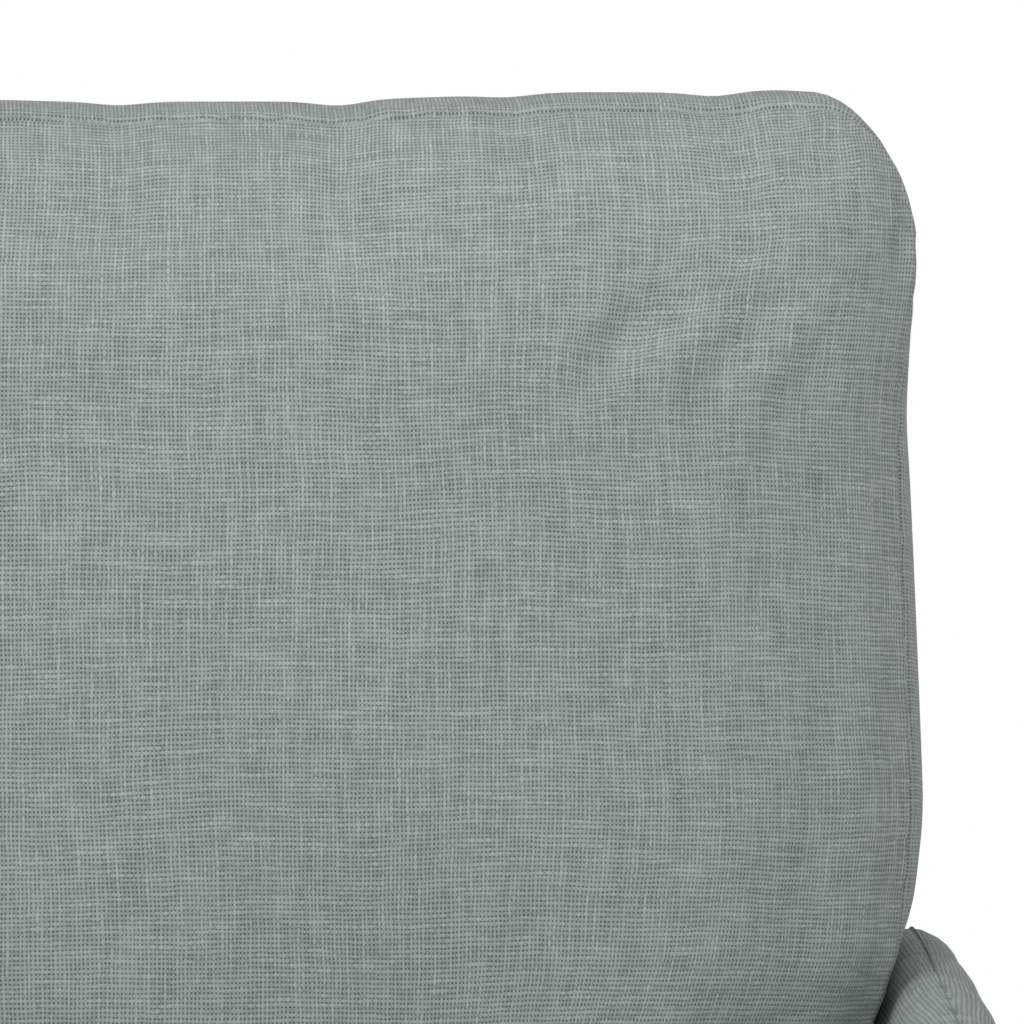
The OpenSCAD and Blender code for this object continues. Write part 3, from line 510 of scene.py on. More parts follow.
def woven_linen(look, sizes):
    """Piece-dyed linen-look plain weave: pale slubby threads over dark gaps, matt with a faint fuzz."""
    made, tree = new_material("woven_linen_grey")
    place = add(tree, "UVMap", uv_map="cloth")
    # the threads bow gently over a hand's width, and each wanders a little by itself
    for scale, reach in ((7.0, 0.0075), (70.0, 0.0009), (330.0, 0.0004)):
        drift = add(tree, "TexNoise", {"Vector": place, "Scale": scale, "Detail": 1.0}, noise_dimensions="2D")
        drift = add(tree, "VectorMath", {0: drift.outputs["Color"], 1: (0.5, 0.5, 0.5)}, operation="SUBTRACT")
        drift = add(tree, "VectorMath", {0: drift, "Scale": reach}, operation="SCALE")
        place = add(tree, "VectorMath", {0: place, 1: drift}, operation="ADD")
    pitches = (sizes.warp_pitch, sizes.weft_pitch, 1)
    cells = add(tree, "VectorMath", {0: place, 1: pitches}, operation="DIVIDE")
    parts = add(tree, "SeparateXYZ", {0: cells})
    threads = []
    for run, cross, seed, sign in ((1, 0, 3.0, 1.0), (0, 1, 11.0, -1.0)):
        number = add(tree, "Math", {0: parts.outputs[cross]}, operation="FLOOR")
        off = add(tree, "Math", {0: parts.outputs[cross]}, operation="FRACT")
        off = add(tree, "Math", {0: off, 1: 0.5}, operation="SUBTRACT")
        # slubs: each thread thickens and pales over 10 to 40 mm of its own length
        spot = add(tree, "Math", {0: number, 1: 0.73}, operation="MULTIPLY")
        length = add(tree, "Math", {0: parts.outputs[run], 1: 0.04}, operation="MULTIPLY")
        spot = add(tree, "CombineXYZ", {0: spot, 1: length, 2: seed})
        slub = add(tree, "TexNoise", {"Vector": spot, "Scale": 1.9, "Detail": 3.0, "Roughness": 0.62},
                   noise_dimensions="3D")
        slub = add(tree, "MapRange", {"Value": slub, "From Min": 0.26, "From Max": 0.74})
        half = add(tree, "MapRange", {"Value": slub, "To Min": 0.28, "To Max": 0.45})
        ratio = add(tree, "Math", {0: off, 1: half}, operation="DIVIDE")
        ratio = add(tree, "Math", {0: ratio, 1: 2.0}, operation="POWER")
        ratio = add(tree, "Math", {0: 1.0, 1: ratio}, operation="SUBTRACT", use_clamp=True)
        arch = add(tree, "Math", {0: ratio, 1: 0.5}, operation="POWER")
        wave = add(tree, "Math", {0: parts.outputs[run], 1: math.pi}, operation="MULTIPLY")
        wave = add(tree, "Math", {0: wave}, operation="SINE")
        parity = add(tree, "Math", {0: number, 1: math.pi}, operation="MULTIPLY")
        parity = add(tree, "Math", {0: parity}, operation="COSINE")
        wave = add(tree, "Math", {0: wave, 1: parity}, operation="MULTIPLY")
        lift = add(tree, "Math", {0: wave, 1: 0.22 * sign, 2: 0.78}, operation="MULTIPLY_ADD")
        height = add(tree, "Math", {0: arch, 1: lift}, operation="MULTIPLY")
        threads.append((height, slub))
    over = add(tree, "Math", {0: threads[0][0], 1: threads[1][0]}, operation="MAXIMUM")
    weft_over = add(tree, "Math", {0: threads[1][0], 1: threads[0][0]}, operation="GREATER_THAN")
    tone = add(tree, "Mix", {0: weft_over, 2: threads[0][1], 3: threads[1][1]}, data_type="FLOAT")
    # dye taken unevenly from thread to thread
    thread = add(tree, "Mix", {0: tone, 6: (*look.thread_dark, 1), 7: (*look.thread_light, 1)},
                 data_type="RGBA")
    shade = add(tree, "MapRange", {"Value": over, "From Min": 0.04, "From Max": 0.82})
    cloth = add(tree, "Mix", {0: shade, 6: (*look.weave_gap, 1), 7: thread.outputs[2]}, data_type="RGBA")
    # a few warmer fibres, and broad soft unevenness of the dye
    warm = add(tree, "MapRange", {"Value": threads[1][1], "From Min": 0.97, "From Max": 1.0, "To Max": 0.35})
    cloth = add(tree, "Mix", {0: warm, 6: cloth.outputs[2], 7: (*look.warm_fibre, 1)}, data_type="RGBA")
    broad = add(tree, "TexNoise", {"Vector": place, "Scale": 9.0, "Detail": 4.0}, noise_dimensions="2D")
    broad = add(tree, "MapRange", {"Value": broad, "From Min": 0.25, "From Max": 0.75,
                                   "To Min": 0.97, "To Max": 1.03})
    cloth = add(tree, "VectorMath", {0: cloth.outputs[2], "Scale": broad}, operation="SCALE")
    bump = add(tree, "Bump", {"Strength": sizes.weave_bump, "Distance": 0.0004, "Height": over})
    shader = add(tree, "BsdfPrincipled", {"Base Color": cloth, "Roughness": 0.92, "Normal": bump,
                                          "Specular IOR Level": 0.25, "Sheen Weight": 0.12,
                                          "Sheen Roughness": 0.5})
    add(tree, "OutputMaterial", {"Surface": shader})
    return made


def coated_steel(look):
    """Satin black powder coat: fine orange peel breaks up the highlights, patches a little greyer from wear.
    """
    made, tree = new_material("powder_coated_steel")
    spot = add(tree, "TexCoord").outputs["Object"]
    peel = add(tree, "TexNoise", {"Vector": spot, "Scale": 900.0, "Detail": 2.0})
    dust = add(tree, "TexNoise", {"Vector": spot, "Scale": 22.0, "Detail": 5.0})
    wear = add(tree, "MapRange", {"Value": dust, "From Min": 0.48, "From Max": 0.75, "To Max": 0.30})
    colour = add(tree, "Mix", {0: wear, 6: (*look.powder_coat, 1), 7: (*hex_colour("#3A3B3C"), 1)},
                 data_type="RGBA")
    rough = add(tree, "MapRange", {"Value": dust, "To Min": 0.38, "To Max": 0.54})
    bump = add(tree, "Bump", {"Strength": 0.18, "Distance": 0.0002, "Height": peel})
    shader = add(tree, "BsdfPrincipled", {"Base Color": colour.outputs[2], "Roughness": rough,
                                          "Normal": bump, "Coat Weight": 0.15, "Coat Roughness": 0.3})
    add(tree, "OutputMaterial", {"Surface": shader})
    return made


def bare_steel(name, code, low, high, grain, stretch):
    """Uncoated steel: plated, polished or drawn. Fine lines and patches vary how sharp its highlights are."""
    made, tree = new_material(name)
    spot = add(tree, "TexCoord").outputs["Object"]
    run = add(tree, "VectorMath", {0: spot, 1: stretch}, operation="MULTIPLY")
    lines = add(tree, "TexNoise", {"Vector": run, "Scale": grain, "Detail": 3.0})
    patch = add(tree, "TexNoise", {"Vector": spot, "Scale": 60.0, "Detail": 4.0})
    both = add(tree, "Math", {0: lines, 1: patch}, operation="MULTIPLY")
    rough = add(tree, "MapRange", {"Value": both, "From Min": 0.12, "From Max": 0.40,
                                   "To Min": low, "To Max": high})
    dull = tuple(0.78 * c for c in hex_colour(code))
    colour = add(tree, "Mix", {0: patch, 6: (*hex_colour(code), 1), 7: (*dull, 1)}, data_type="RGBA")
    bump = add(tree, "Bump", {"Strength": 0.08, "Distance": 0.0001, "Height": lines})
    shader = add(tree, "BsdfPrincipled", {"Base Color": colour.outputs[2], "Metallic": 1.0,
                                          "Roughness": rough, "Normal": bump})
    add(tree, "OutputMaterial", {"Surface": shader})
    return made


def moulded(name, code, rough, ior, soft, grain=700.0):
    """Moulded plastic or rubber: an even, finely eroded skin, with light scattering in if it is pale."""
    made, tree = new_material(name)
    spot = add(tree, "TexCoord").outputs["Object"]
    skin = add(tree, "TexNoise", {"Vector": spot, "Scale": grain, "Detail": 3.0})
    cloud = add(tree, "TexNoise", {"Vector": spot, "Scale": 35.0, "Detail": 3.0})
    tint = add(tree, "MapRange", {"Value": cloud, "To Min": 0.86, "To Max": 1.12})
    colour = add(tree, "VectorMath", {0: hex_colour(code), "Scale": tint}, operation="SCALE")
    gloss = add(tree, "MapRange", {"Value": skin, "To Min": rough - 0.06, "To Max": rough + 0.08})
    bump = add(tree, "Bump", {"Strength": 0.15, "Distance": 0.0002, "Height": skin})
    shader = add(tree, "BsdfPrincipled", {"Base Color": colour, "Roughness": gloss, "IOR": ior,
                                          "Normal": bump, "Subsurface Weight": soft,
                                          "Subsurface Scale": 0.002})
    add(tree, "OutputMaterial", {"Surface": shader})
    return made


def sawn_wood(name, pale, dark, stretch, plies=0.0):
    """Unfinished timber: uneven bands of grain along the piece. Birch ply adds its 1.5 mm plies."""
    made, tree = new_material(name)
    spot = add(tree, "TexCoord").outputs["Object"]
    run = add(tree, "VectorMath", {0: spot, 1: stretch}, operation="MULTIPLY")
    bend = add(tree, "TexNoise", {"Vector": run, "Scale": 9.0, "Detail": 3.0})
    rings = add(tree, "TexWave", {"Vector": run, "Scale": 30.0, "Distortion": 7.0, "Detail": 3.0,
                                  "Detail Scale": 1.2}, wave_type="BANDS", bands_direction="DIAGONAL")
    fibre = add(tree, "TexNoise", {"Vector": run, "Scale": 420.0, "Detail": 4.0})
    share = add(tree, "Math", {0: rings, 1: bend}, operation="MULTIPLY")
    share = add(tree, "Math", {0: fibre, 1: 0.45, 2: share}, operation="MULTIPLY_ADD")
    if plies:
        parts = add(tree, "SeparateXYZ", {0: spot})
        depth = add(tree, "Math", {0: parts.outputs[0], 1: 1 / plies}, operation="MULTIPLY")
        odd = add(tree, "Math", {0: depth, 1: math.pi}, operation="MULTIPLY")
        odd = add(tree, "Math", {0: odd}, operation="SINE")
        odd = add(tree, "Math", {0: odd, 1: 0.0}, operation="GREATER_THAN")
        share = add(tree, "Math", {0: odd, 1: 0.30, 2: share}, operation="MULTIPLY_ADD")
    colour = add(tree, "Mix", {0: share, 6: (*hex_colour(pale), 1), 7: (*hex_colour(dark), 1)},
                 data_type="RGBA", clamp_factor=True)
    bump = add(tree, "Bump", {"Strength": 0.25, "Distance": 0.0003, "Height": fibre})
    shader = add(tree, "BsdfPrincipled", {"Base Color": colour.outputs[2], "Roughness": 0.72,
                                          "Normal": bump})
    add(tree, "OutputMaterial", {"Surface": shader})
    return made


def dark_cloth(name, code, pitch, depth, fuzz):
    """Black or dark utility cloth: fine crossing ribs at the real pitch, painted shade between them, dusty
    sheen, uneven density.
    """
    made, tree = new_material(name)
    spot = add(tree, "TexCoord").outputs["Object"]
    scaled = add(tree, "VectorMath", {0: spot, "Scale": 2 * math.pi / pitch}, operation="SCALE")
    parts = add(tree, "SeparateXYZ", {0: scaled})
    across = add(tree, "Math", {0: parts.outputs[0]}, operation="SINE")
    along = add(tree, "Math", {0: parts.outputs[1], 1: parts.outputs[2]}, operation="ADD")
    along = add(tree, "Math", {0: along}, operation="SINE")
    ribs = add(tree, "Math", {0: across, 1: along}, operation="MULTIPLY")
    felt = add(tree, "TexNoise", {"Vector": spot, "Scale": 380.0, "Detail": 4.0})
    height = add(tree, "Math", {0: ribs, 1: 0.5, 2: felt}, operation="MULTIPLY_ADD")
    # painted shade and light: darker down between the ribs and paler on their tops; the felt noise adds
    # uneven density
    tint = add(tree, "MapRange", {"Value": height, "To Min": 0.65, "To Max": 1.45})
    colour = add(tree, "VectorMath", {0: hex_colour(code), "Scale": tint}, operation="SCALE")
    bump = add(tree, "Bump", {"Strength": depth, "Distance": 0.0004, "Height": height})
    shader = add(tree, "BsdfPrincipled", {"Base Color": colour, "Roughness": 0.95, "Normal": bump,
                                          "Sheen Weight": fuzz, "Sheen Roughness": 0.6,
                                          "Specular IOR Level": 0.2})
    add(tree, "OutputMaterial", {"Surface": shader})
    return made


def sewing_thread():
    """Polyester thread, a shade darker than the cloth: its twist breaks up a slight lustre."""
    made, tree = new_material("polyester_sewing_thread")
    spot = add(tree, "TexCoord").outputs["Object"]
    twist = add(tree, "TexNoise", {"Vector": spot, "Scale": 1500.0, "Detail": 2.0})
    colour = add(tree, "Mix", {0: twist, 6: (*hex_colour("#777E7C"), 1), 7: (*hex_colour("#9BA3A0"), 1)},
                 data_type="RGBA")
    bump = add(tree, "Bump", {"Strength": 0.3, "Distance": 0.0001, "Height": twist})
    shader = add(tree, "BsdfPrincipled", {"Base Color": colour.outputs[2], "Roughness": 0.6,
                                          "Normal": bump})
    add(tree, "OutputMaterial", {"Surface": shader})
    return made


def matt_floor(look):
    """Pale painted studio floor with very slight unevenness, which turns to plain lit white further out."""
    made, tree = new_material("matt_pale_floor")
    spot = add(tree, "TexCoord").outputs["Object"]
    cloud = add(tree, "TexNoise", {"Vector": spot, "Scale": 3.0, "Detail": 4.0})
    tint = add(tree, "MapRange", {"Value": cloud, "To Min": 0.98, "To Max": 1.0})
    colour = add(tree, "VectorMath", {0: tuple(look.floor), "Scale": tint}, operation="SCALE")
    shader = add(tree, "BsdfPrincipled", {"Base Color": colour, "Roughness": 0.85})
    lit = add(tree, "Emission", {"Color": (1, 1, 1, 1), "Strength": 1.0})
    out = add(tree, "VectorMath", {0: spot}, operation="LENGTH").outputs["Value"]
    out = add(tree, "MapRange", {"Value": out, "From Min": 1.2, "From Max": 3.2},
              interpolation_type="SMOOTHSTEP")
    both = add(tree, "MixShader", {0: out, 1: shader, 2: lit})
    add(tree, "OutputMaterial", {"Surface": both})
    return made


# ---- What a user would change ----


class GliderSizes(bpy.types.PropertyGroup):
    """Sizes of the covers, their weave and their stitches"""
    rake: FloatProperty(name="Back rake", description="Lean of the back from upright",
                        default=math.radians(10), subtype="ANGLE")
    seat_tilt: FloatProperty(name="Seat tilt", description="Fall of the seat deck towards the back",
                             default=math.radians(3), subtype="ANGLE")
    back_depth: FloatProperty(name="Back depth", description="Depth of the outer back, front to rear",
                              default=0.060, unit="LENGTH")
    cushion_depth: FloatProperty(name="Back cushion depth", description="Thickness of the back cushion",
                                 default=0.155, unit="LENGTH")
    cushion_crown: FloatProperty(name="Back cushion crown", description="Rise of its front over the seam",
                                 default=0.045, unit="LENGTH")
    seat_depth: FloatProperty(name="Seat cushion depth", description="Thickness of the seat cushion",
                              default=0.132, unit="LENGTH")
    mesh_step: FloatProperty(name="Mesh step", description="Spacing of the grid lines on a cover",
                             default=0.0046, unit="LENGTH")
    warp_pitch: FloatProperty(name="Warp pitch", description="Spacing of the threads across the cloth",
                              default=0.00164, unit="LENGTH")
    weft_pitch: FloatProperty(name="Weft pitch", description="Spacing of the threads along the cloth",
                              default=0.00195, unit="LENGTH")
    weave_bump: FloatProperty(name="Weave relief", description="Strength of the weave's relief",
                              default=0.55, subtype="FACTOR")
    stitch_pitch: FloatProperty(name="Stitch pitch", description="Spacing of the stitches in a seam",
                                default=0.0032, unit="LENGTH")
    stitch_radius: FloatProperty(name="Stitch radius", description="Radius of the sewing thread",
                                 default=0.00035, unit="LENGTH")
    staple_pitch: FloatProperty(name="Staple pitch", description="Spacing of the dust cover's staples",
                                default=0.038, unit="LENGTH")


class GliderColours(bpy.types.PropertyGroup):
    """Colours of the cloth, the coated steel and the floor"""
    thread_light: FloatVectorProperty(name="Pale thread", description="Palest slubs of the linen weave",
                                      default=hex_colour("#BDC3C0"), subtype="COLOR")
    thread_dark: FloatVectorProperty(name="Dark thread", description="Thin threads of the linen weave",
                                     default=hex_colour("#959D9B"), subtype="COLOR")
    weave_gap: FloatVectorProperty(name="Weave gap", description="Shadowed gaps between the threads",
                                   default=hex_colour("#5E6462"), subtype="COLOR")
    warm_fibre: FloatVectorProperty(name="Warm fibre", description="Occasional warmer threads",
                                    default=hex_colour("#A59A92"), subtype="COLOR")
    powder_coat: FloatVectorProperty(name="Powder coat", description="Coating of the steel frame",
                                     default=hex_colour("#1B1C1D"), subtype="COLOR")
    floor: FloatVectorProperty(name="Floor", description="Studio floor",
                               default=hex_colour("#F4F4F4"), subtype="COLOR")


def linen():
    """The one linen of all the covers, made when it is first asked for."""
    scene = bpy.context.scene
    found = bpy.data.materials.get("woven_linen_grey")
    return found if found is not None else woven_linen(scene.glider_colours, scene.glider_sizes)


# ---- Sheets and repeated pieces ----


def finishing_of(node):
    """The finished material that a CAD node carries."""
    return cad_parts[node].data.materials[0]


def strip_of_cloth(name, rows, thickness, material):
    """A band or sheet of cloth of one thickness over a grid of points, closed all round."""
    rows = np.array(rows)
    across, along = np.gradient(rows, axis=0), np.gradient(rows, axis=1)
    normal = np.cross(across, along)
    normal /= np.linalg.norm(normal, axis=-1, keepdims=True)
    count = rows.shape[0] * rows.shape[1]
    front = np.arange(count).reshape(rows.shape[:2])
    half = normal * thickness / 2
    points = np.concatenate([(rows + half).reshape(-1, 3), (rows - half).reshape(-1, 3)])
    ring = np.stack([rim(front), rim(front + count)], 1)
    faces = np.concatenate([quads(front), quads(front + count)[:, ::-1], quads(ring, True)[:, ::-1]])
    width = np.linalg.norm(np.diff(rows, axis=0), axis=-1)
    length = np.linalg.norm(np.diff(rows, axis=1), axis=-1)
    u = np.concatenate([np.zeros((1, rows.shape[1])), np.cumsum(width, 0)])
    v = np.concatenate([np.zeros((rows.shape[0], 1)), np.cumsum(length, 1)], 1)
    flat = np.stack([u, v], -1).reshape(-1, 2)
    return mesh_object(name, points, faces, np.concatenate([flat, flat])[faces], material)


def tube_shape(name, spine, radius, sides):
    """A small closed tube along a few points, with rounded ends, as a mesh to repeat."""
    spine = np.array(spine, float)
    ahead = np.gradient(spine, axis=0)
    ahead /= np.linalg.norm(ahead, axis=1, keepdims=True)
    side = np.tile([0.0, 1.0, 0.0], (len(spine), 1))
    up = np.cross(ahead, side)
    turn = np.arange(sides) * 2 * math.pi / sides
    ends = np.full(len(spine), 1.0)
    ends[[0, -1]] = 0.55
    rings = spine[:, None] + radius * ends[:, None, None] * (
        side[:, None] * np.cos(turn)[None, :, None] + up[:, None] * np.sin(turn)[None, :, None])
    tip = ahead * radius * 0.4
    points = np.concatenate([rings.reshape(-1, 3), spine[:1] - tip[:1], spine[-1:] + tip[-1:]])
    faces = []
    for k in range(len(spine) - 1):
        for m in range(sides):
            n = (m + 1) % sides
            faces.append([k * sides + m, (k + 1) * sides + m, (k + 1) * sides + n, k * sides + n])
    last = (len(spine) - 1) * sides
    for m in range(sides):
        n = (m + 1) % sides
        faces.append([len(points) - 2, m, n])
        faces.append([len(points) - 1, last + n, last + m])
    mesh = bpy.data.meshes.new(name)
    mesh.from_pydata(points.tolist(), [], faces)
    mesh.shade_smooth()
    return mesh


def stitch_shape(sizes):
    """One lock stitch: a thread that rises from the cloth and goes back in."""
    length = sizes.stitch_pitch * 0.40
    spine = [(-length, 0, -0.0004), (-length * 0.5, 0, 0.00018), (0, 0, 0.00030),
             (length * 0.5, 0, 0.00018), (length, 0, -0.0004)]
    return tube_shape("stitch", spine, sizes.stitch_radius, 5)


def staple_shape():
    """The crown of a staple, 10 mm across, lying along the edge."""
    spine = [(-0.0050, 0, 0.0010), (-0.0049, 0, -0.0002), (0, 0, -0.0003), (0.0049, 0, -0.0002),
             (0.0050, 0, 0.0010)]
    return tube_shape("staple", spine, 0.0005, 6)


def repeat_along(name, paths, pitch, shape, material, seed, outward=None):
    """Repeats a small shape along closed paths with Geometry Nodes, and returns one plain mesh object."""
    verts, edges, normals = [], [], []
    for number, path in enumerate(paths):
        start = len(verts)
        verts += [tuple(p) for p in path]
        edges += [(start + k, start + (k + 1) % len(path)) for k in range(len(path))]
        normals += [(0.0, 0.0, 1.0)] * len(path) if outward is None else [tuple(n) for n in outward[number]]
    line = bpy.data.meshes.new(name + "_path")
    line.from_pydata(verts, edges, [])
    facing = line.attributes.new("outward", "FLOAT_VECTOR", "POINT")
    facing.data.foreach_set("vector", np.array(normals, np.float32).ravel())
    made = bpy.data.objects.new(name + "_path", line)
    bpy.context.scene.collection.objects.link(made)
    pattern = bpy.data.objects.new(name + "_shape", shape)
    bpy.context.scene.collection.objects.link(pattern)

    tree = bpy.data.node_groups.new(name, "GeometryNodeTree")
    face = tree.interface
    for label, kind in (("Path", "Geometry"), ("Shape", "Object"), ("Pitch", "Float"), ("Uneven", "Float"),
                        ("Seed", "Int"), ("Finish", "Material")):
        face.new_socket(label, in_out="INPUT", socket_type="NodeSocket" + kind)
    face.new_socket("Pieces", in_out="OUTPUT", socket_type="NodeSocketGeometry")
    given = add(tree, "NodeGroupInput").outputs
    curve = add(tree, "GeometryNodeMeshToCurve", {"Mesh": given["Path"]})
    spots = add(tree, "GeometryNodeResampleCurve", {"Curve": curve, "Length": given["Pitch"]}, mode="LENGTH")
    facing = add(tree, "GeometryNodeInputNamedAttribute", {"Name": "outward"}, data_type="FLOAT_VECTOR")
    tangent = add(tree, "GeometryNodeInputTangent")
    turned = add(tree, "FunctionNodeAlignRotationToVector", {"Vector": tangent}, axis="X")
    turned = add(tree, "FunctionNodeAlignRotationToVector", {"Rotation": turned, "Vector": facing},
                 axis="Z", pivot_axis="X")
    model = add(tree, "GeometryNodeObjectInfo", {"Object": given["Shape"]})
    low = add(tree, "Math", {0: 1.0, 1: given["Uneven"]}, operation="SUBTRACT")
    high = add(tree, "Math", {0: 1.0, 1: given["Uneven"]}, operation="ADD")
    size = add(tree, "FunctionNodeRandomValue", {2: low, 3: high, "Seed": given["Seed"]}, data_type="FLOAT")
    placed = add(tree, "GeometryNodeInstanceOnPoints",
                 {"Points": spots, "Instance": model.outputs["Geometry"], "Rotation": turned,
                  "Scale": size.outputs[1]})
    solid = add(tree, "GeometryNodeRealizeInstances", {"Geometry": placed})
    dressed = add(tree, "GeometryNodeSetMaterial", {"Geometry": solid, "Material": given["Finish"]})
    add(tree, "NodeGroupOutput", {"Pieces": dressed})

    repeat = made.modifiers.new("repeat", "NODES")
    repeat.node_group = tree
    values = {"Shape": pattern, "Pitch": pitch, "Uneven": 0.08, "Seed": seed, "Finish": material}
    for item in face.items_tree:
        if item.in_out == "INPUT" and item.name in values:
            repeat[item.identifier] = values[item.name]
    graph = bpy.context.evaluated_depsgraph_get()
    mesh = bpy.data.meshes.new_from_object(made.evaluated_get(graph), preserve_all_data_layers=False,
                                           depsgraph=graph)
    mesh.name = name
    made.modifiers.remove(repeat)
    for spare in (made, pattern):
        bpy.data.objects.remove(spare)
    bpy.data.node_groups.remove(tree)
    result = bpy.data.objects.new(name, mesh)
    bpy.context.scene.collection.objects.link(result)
    return result


# ---- Operators ----


class GLIDER_OT_frame_finishes(bpy.types.Operator):
    """Gives the steel, timber, plastic and springs of the frame their finishes"""
    bl_idname = "glider.frame_finishes"
    bl_label = "Frame finishes"

    def execute(self, context):
        look = context.scene.glider_colours
        finishes = {
            "painted_steel": coated_steel(look),
            # bright zinc plate: clear grey metal, slightly cloudy
            "zinc_steel": bare_steel("zinc_plated_steel", "#C9CCCF", 0.28, 0.46, 160.0, (1, 1, 1)),
            # ground and polished bearing steel: near-mirror balls
            "bearing_steel": bare_steel("polished_bearing_steel", "#D4D5D7", 0.08, 0.18, 300.0, (1, 1, 1)),
            # cold-drawn wire: dark oily lustre with lines along it
            "spring_steel": bare_steel("drawn_spring_wire", "#8B8D90", 0.30, 0.50, 240.0, (8, 1, 8)),
            # natural moulded nylon: milky, slightly translucent, soft sheen
            "nylon": moulded("moulded_nylon", "#DAD7CB", 0.42, 1.53, 0.25),
            # moulded rubber: dead black, dusty, no clear reflections
            "rubber": moulded("moulded_rubber", "#191919", 0.80, 1.52, 0.0, 420.0),
            "plywood": sawn_wood("birch_plywood", "#DDC49B", "#B08A5B", (14, 1.6, 1.6), 0.0015),
            "pine": sawn_wood("planed_pine", "#DFC08C", "#B3824A", (2.2, 12, 2.2)),
            "elastic_webbing": dark_cloth("elastic_webbing_black", "#2B2B2D", 0.0016, 0.5, 0.15),
            "deck_cloth": dark_cloth("felted_deck_pad", "#585A5C", 0.004, 0.4, 0.30),
            "cambric": dark_cloth("spunbond_cambric_black", "#232325", 0.0024, 0.35, 0.20),
            "linen_weave": linen(),
        }
        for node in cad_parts.values():
            for k, material in enumerate(node.data.materials):
                node.data.materials[k] = finishes[material.name.split(".")[0]]
        return {"FINISHED"}


class GLIDER_OT_back_cushion(bpy.types.Operator):
    """Makes the boxed back cushion: puffed front, gusset, and sides that pull in between the arms"""
    bl_idname = "glider.back_cushion"
    bl_label = "Back cushion"

    def execute(self, context):
        sizes = context.scene.glider_sizes
        low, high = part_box("back_cushion")
        place = in_back(sizes)
        sin, cos = math.sin(sizes.rake), math.cos(sizes.rake)
        rear = -sizes.back_depth - 0.002
        front = rear - sizes.cushion_depth
        half = high.x - 0.0025
        corner = 0.052
        bottom = (low.z + corner - BODY_Z - sin * (-rear + corner)) / cos - corner + 0.001
        top = (high.z - BODY_Z - corner + (front + corner) * sin) / cos + corner - 0.0095
        # height over the floor, and how far the sides pull in there: narrow between the arms, slack over them
        side_line = ((0.585, 0.030), (0.610, 0.018), (0.635, 0.008), (0.665, -0.001), (0.703, -0.0055),
                     (0.760, -0.004), (0.865, -0.001), (0.930, -0.007), (1.0, 0.0))
        # distance from the middle, and how far the top edge rises there towards its full corners
        top_line = ((0.05, -0.003), (0.11, -0.001), (0.16, 0.001), (0.21, 0.001), (0.245, 0.0024),
                    (0.27, 0.0012))
        # where the top seam is drawn down a little, and how far
        dips = ((-0.232, 0.0020), (-0.150, 0.0022), (-0.096, 0.0012), (-0.027, 0.0015), (0.065, 0.0022),
                (0.135, 0.0012), (0.222, 0.0020))
        # slack folds beside each edge: distance from the middle, width, depth, lower end and upper end
        folds = ((0.262, 0.011, 0.0016, 0.47, 0.80), (0.232, 0.016, 0.0014, 0.55, 0.84),
                 (0.200, 0.018, 0.0008, 0.40, 0.72))

        def eased(at, line):
            """Value of a line of points at a place, with its corners eased over 10 mm each way."""
            return sum(np.interp(at + near, *zip(*line)) for near in (-0.010, -0.005, 0.0, 0.005, 0.010)) / 5

        def above_floor(z):
            """Height over the floor of a place along the outer back."""
            return BODY_Z + 0.150 * sin + z * cos

        def full_side(z):
            """Where the gusset stands out past the front seam: over the arms, up to below the corner."""
            return smooth(above_floor(z), 0.640, 0.670) * (1 - smooth(above_floor(z), 0.83, 0.93))

        def warp(x, z):
            pulled = eased(above_floor(z), side_line) + 0.0036 * full_side(z)
            inward = pulled * smooth(np.abs(x), 0.03, half)
            sunk = sum(depth * np.exp(-((x - at) / 0.013) ** 2) for at, depth in dips)
            raised = eased(np.abs(x), top_line)
            return x - np.sign(x) * inward, z + (raised - sunk) * smooth(z, top - 0.09, top)

        def creases(x, z, near):
            """Soft valleys that run down from the dips, and long slack folds beside the edges."""
            depth = np.zeros(np.shape(x))
            for at, size in dips:
                lean = at + 0.10 * at * (top - z) / 0.1
                run = smooth(z, top - 0.085, top - 0.015) * smooth(top - z, 0.0, 0.012)
                depth -= 0.7 * size * run * np.exp(-((x - lean) / (0.010 + 0.05 * (top - z))) ** 2)
            for side in (-1, 1):
                for at, width, size, low_z, high_z in folds:
                    line = side * (at + 0.006 * np.sin(z * 31 + at * 50))
                    run = smooth(z, low_z, low_z + 0.08) * (1 - smooth(z, high_z - 0.08, high_z))
                    depth -= size * run * np.exp(-((x - line) / width) ** 2)
            return depth * smooth(near, 0.004, 0.02)

        radii = [(0.040, 0.040), (0.040, 0.040), (0.050, 0.034), (0.034, 0.050)]
        edges = round_outline(box_corners(-half, bottom, half, top), radii)
        crown = sizes.cushion_crown
        ahead = Panel(edges, crown, (0.100, 0.100, 0.100, 0.110), 0.004)
        behind = Panel(edges, 0.014, (0.050, 0.050, 0.050, 0.050), 0.0)

        def bulge(x, z):
            upper = smooth(z, top - 0.05, top - 0.01) * (1 - smooth(np.abs(x), half - 0.035, half))
            return 0.0015 + 0.0115 * upper + 0.0065 * full_side(z) * smooth(np.abs(x), half - 0.02, half)

        def drawn(x, z):
            """How firmly the seam draws the cloth in: it runs out where the cover turns the upper corners."""
            return 1 - 0.9 * smooth(np.abs(x), half - 0.068, half - 0.040) * smooth(z, top - 0.13, top - 0.08)

        cover = Cover("back_cushion_cover", ahead, behind, front + crown + 0.002, rear - 0.015, place,
                      bulge, warp, creases, drawn=drawn)
        sim = {"spare": 0.003, "pressure": 2.0, "cap": 0.005}
        made = cover.build(sizes.mesh_step, NEAR_SEAM, sim, linen())
        finish_piece(made, LINEN, "back_cushion", fill=0.7)
        return {"FINISHED"}


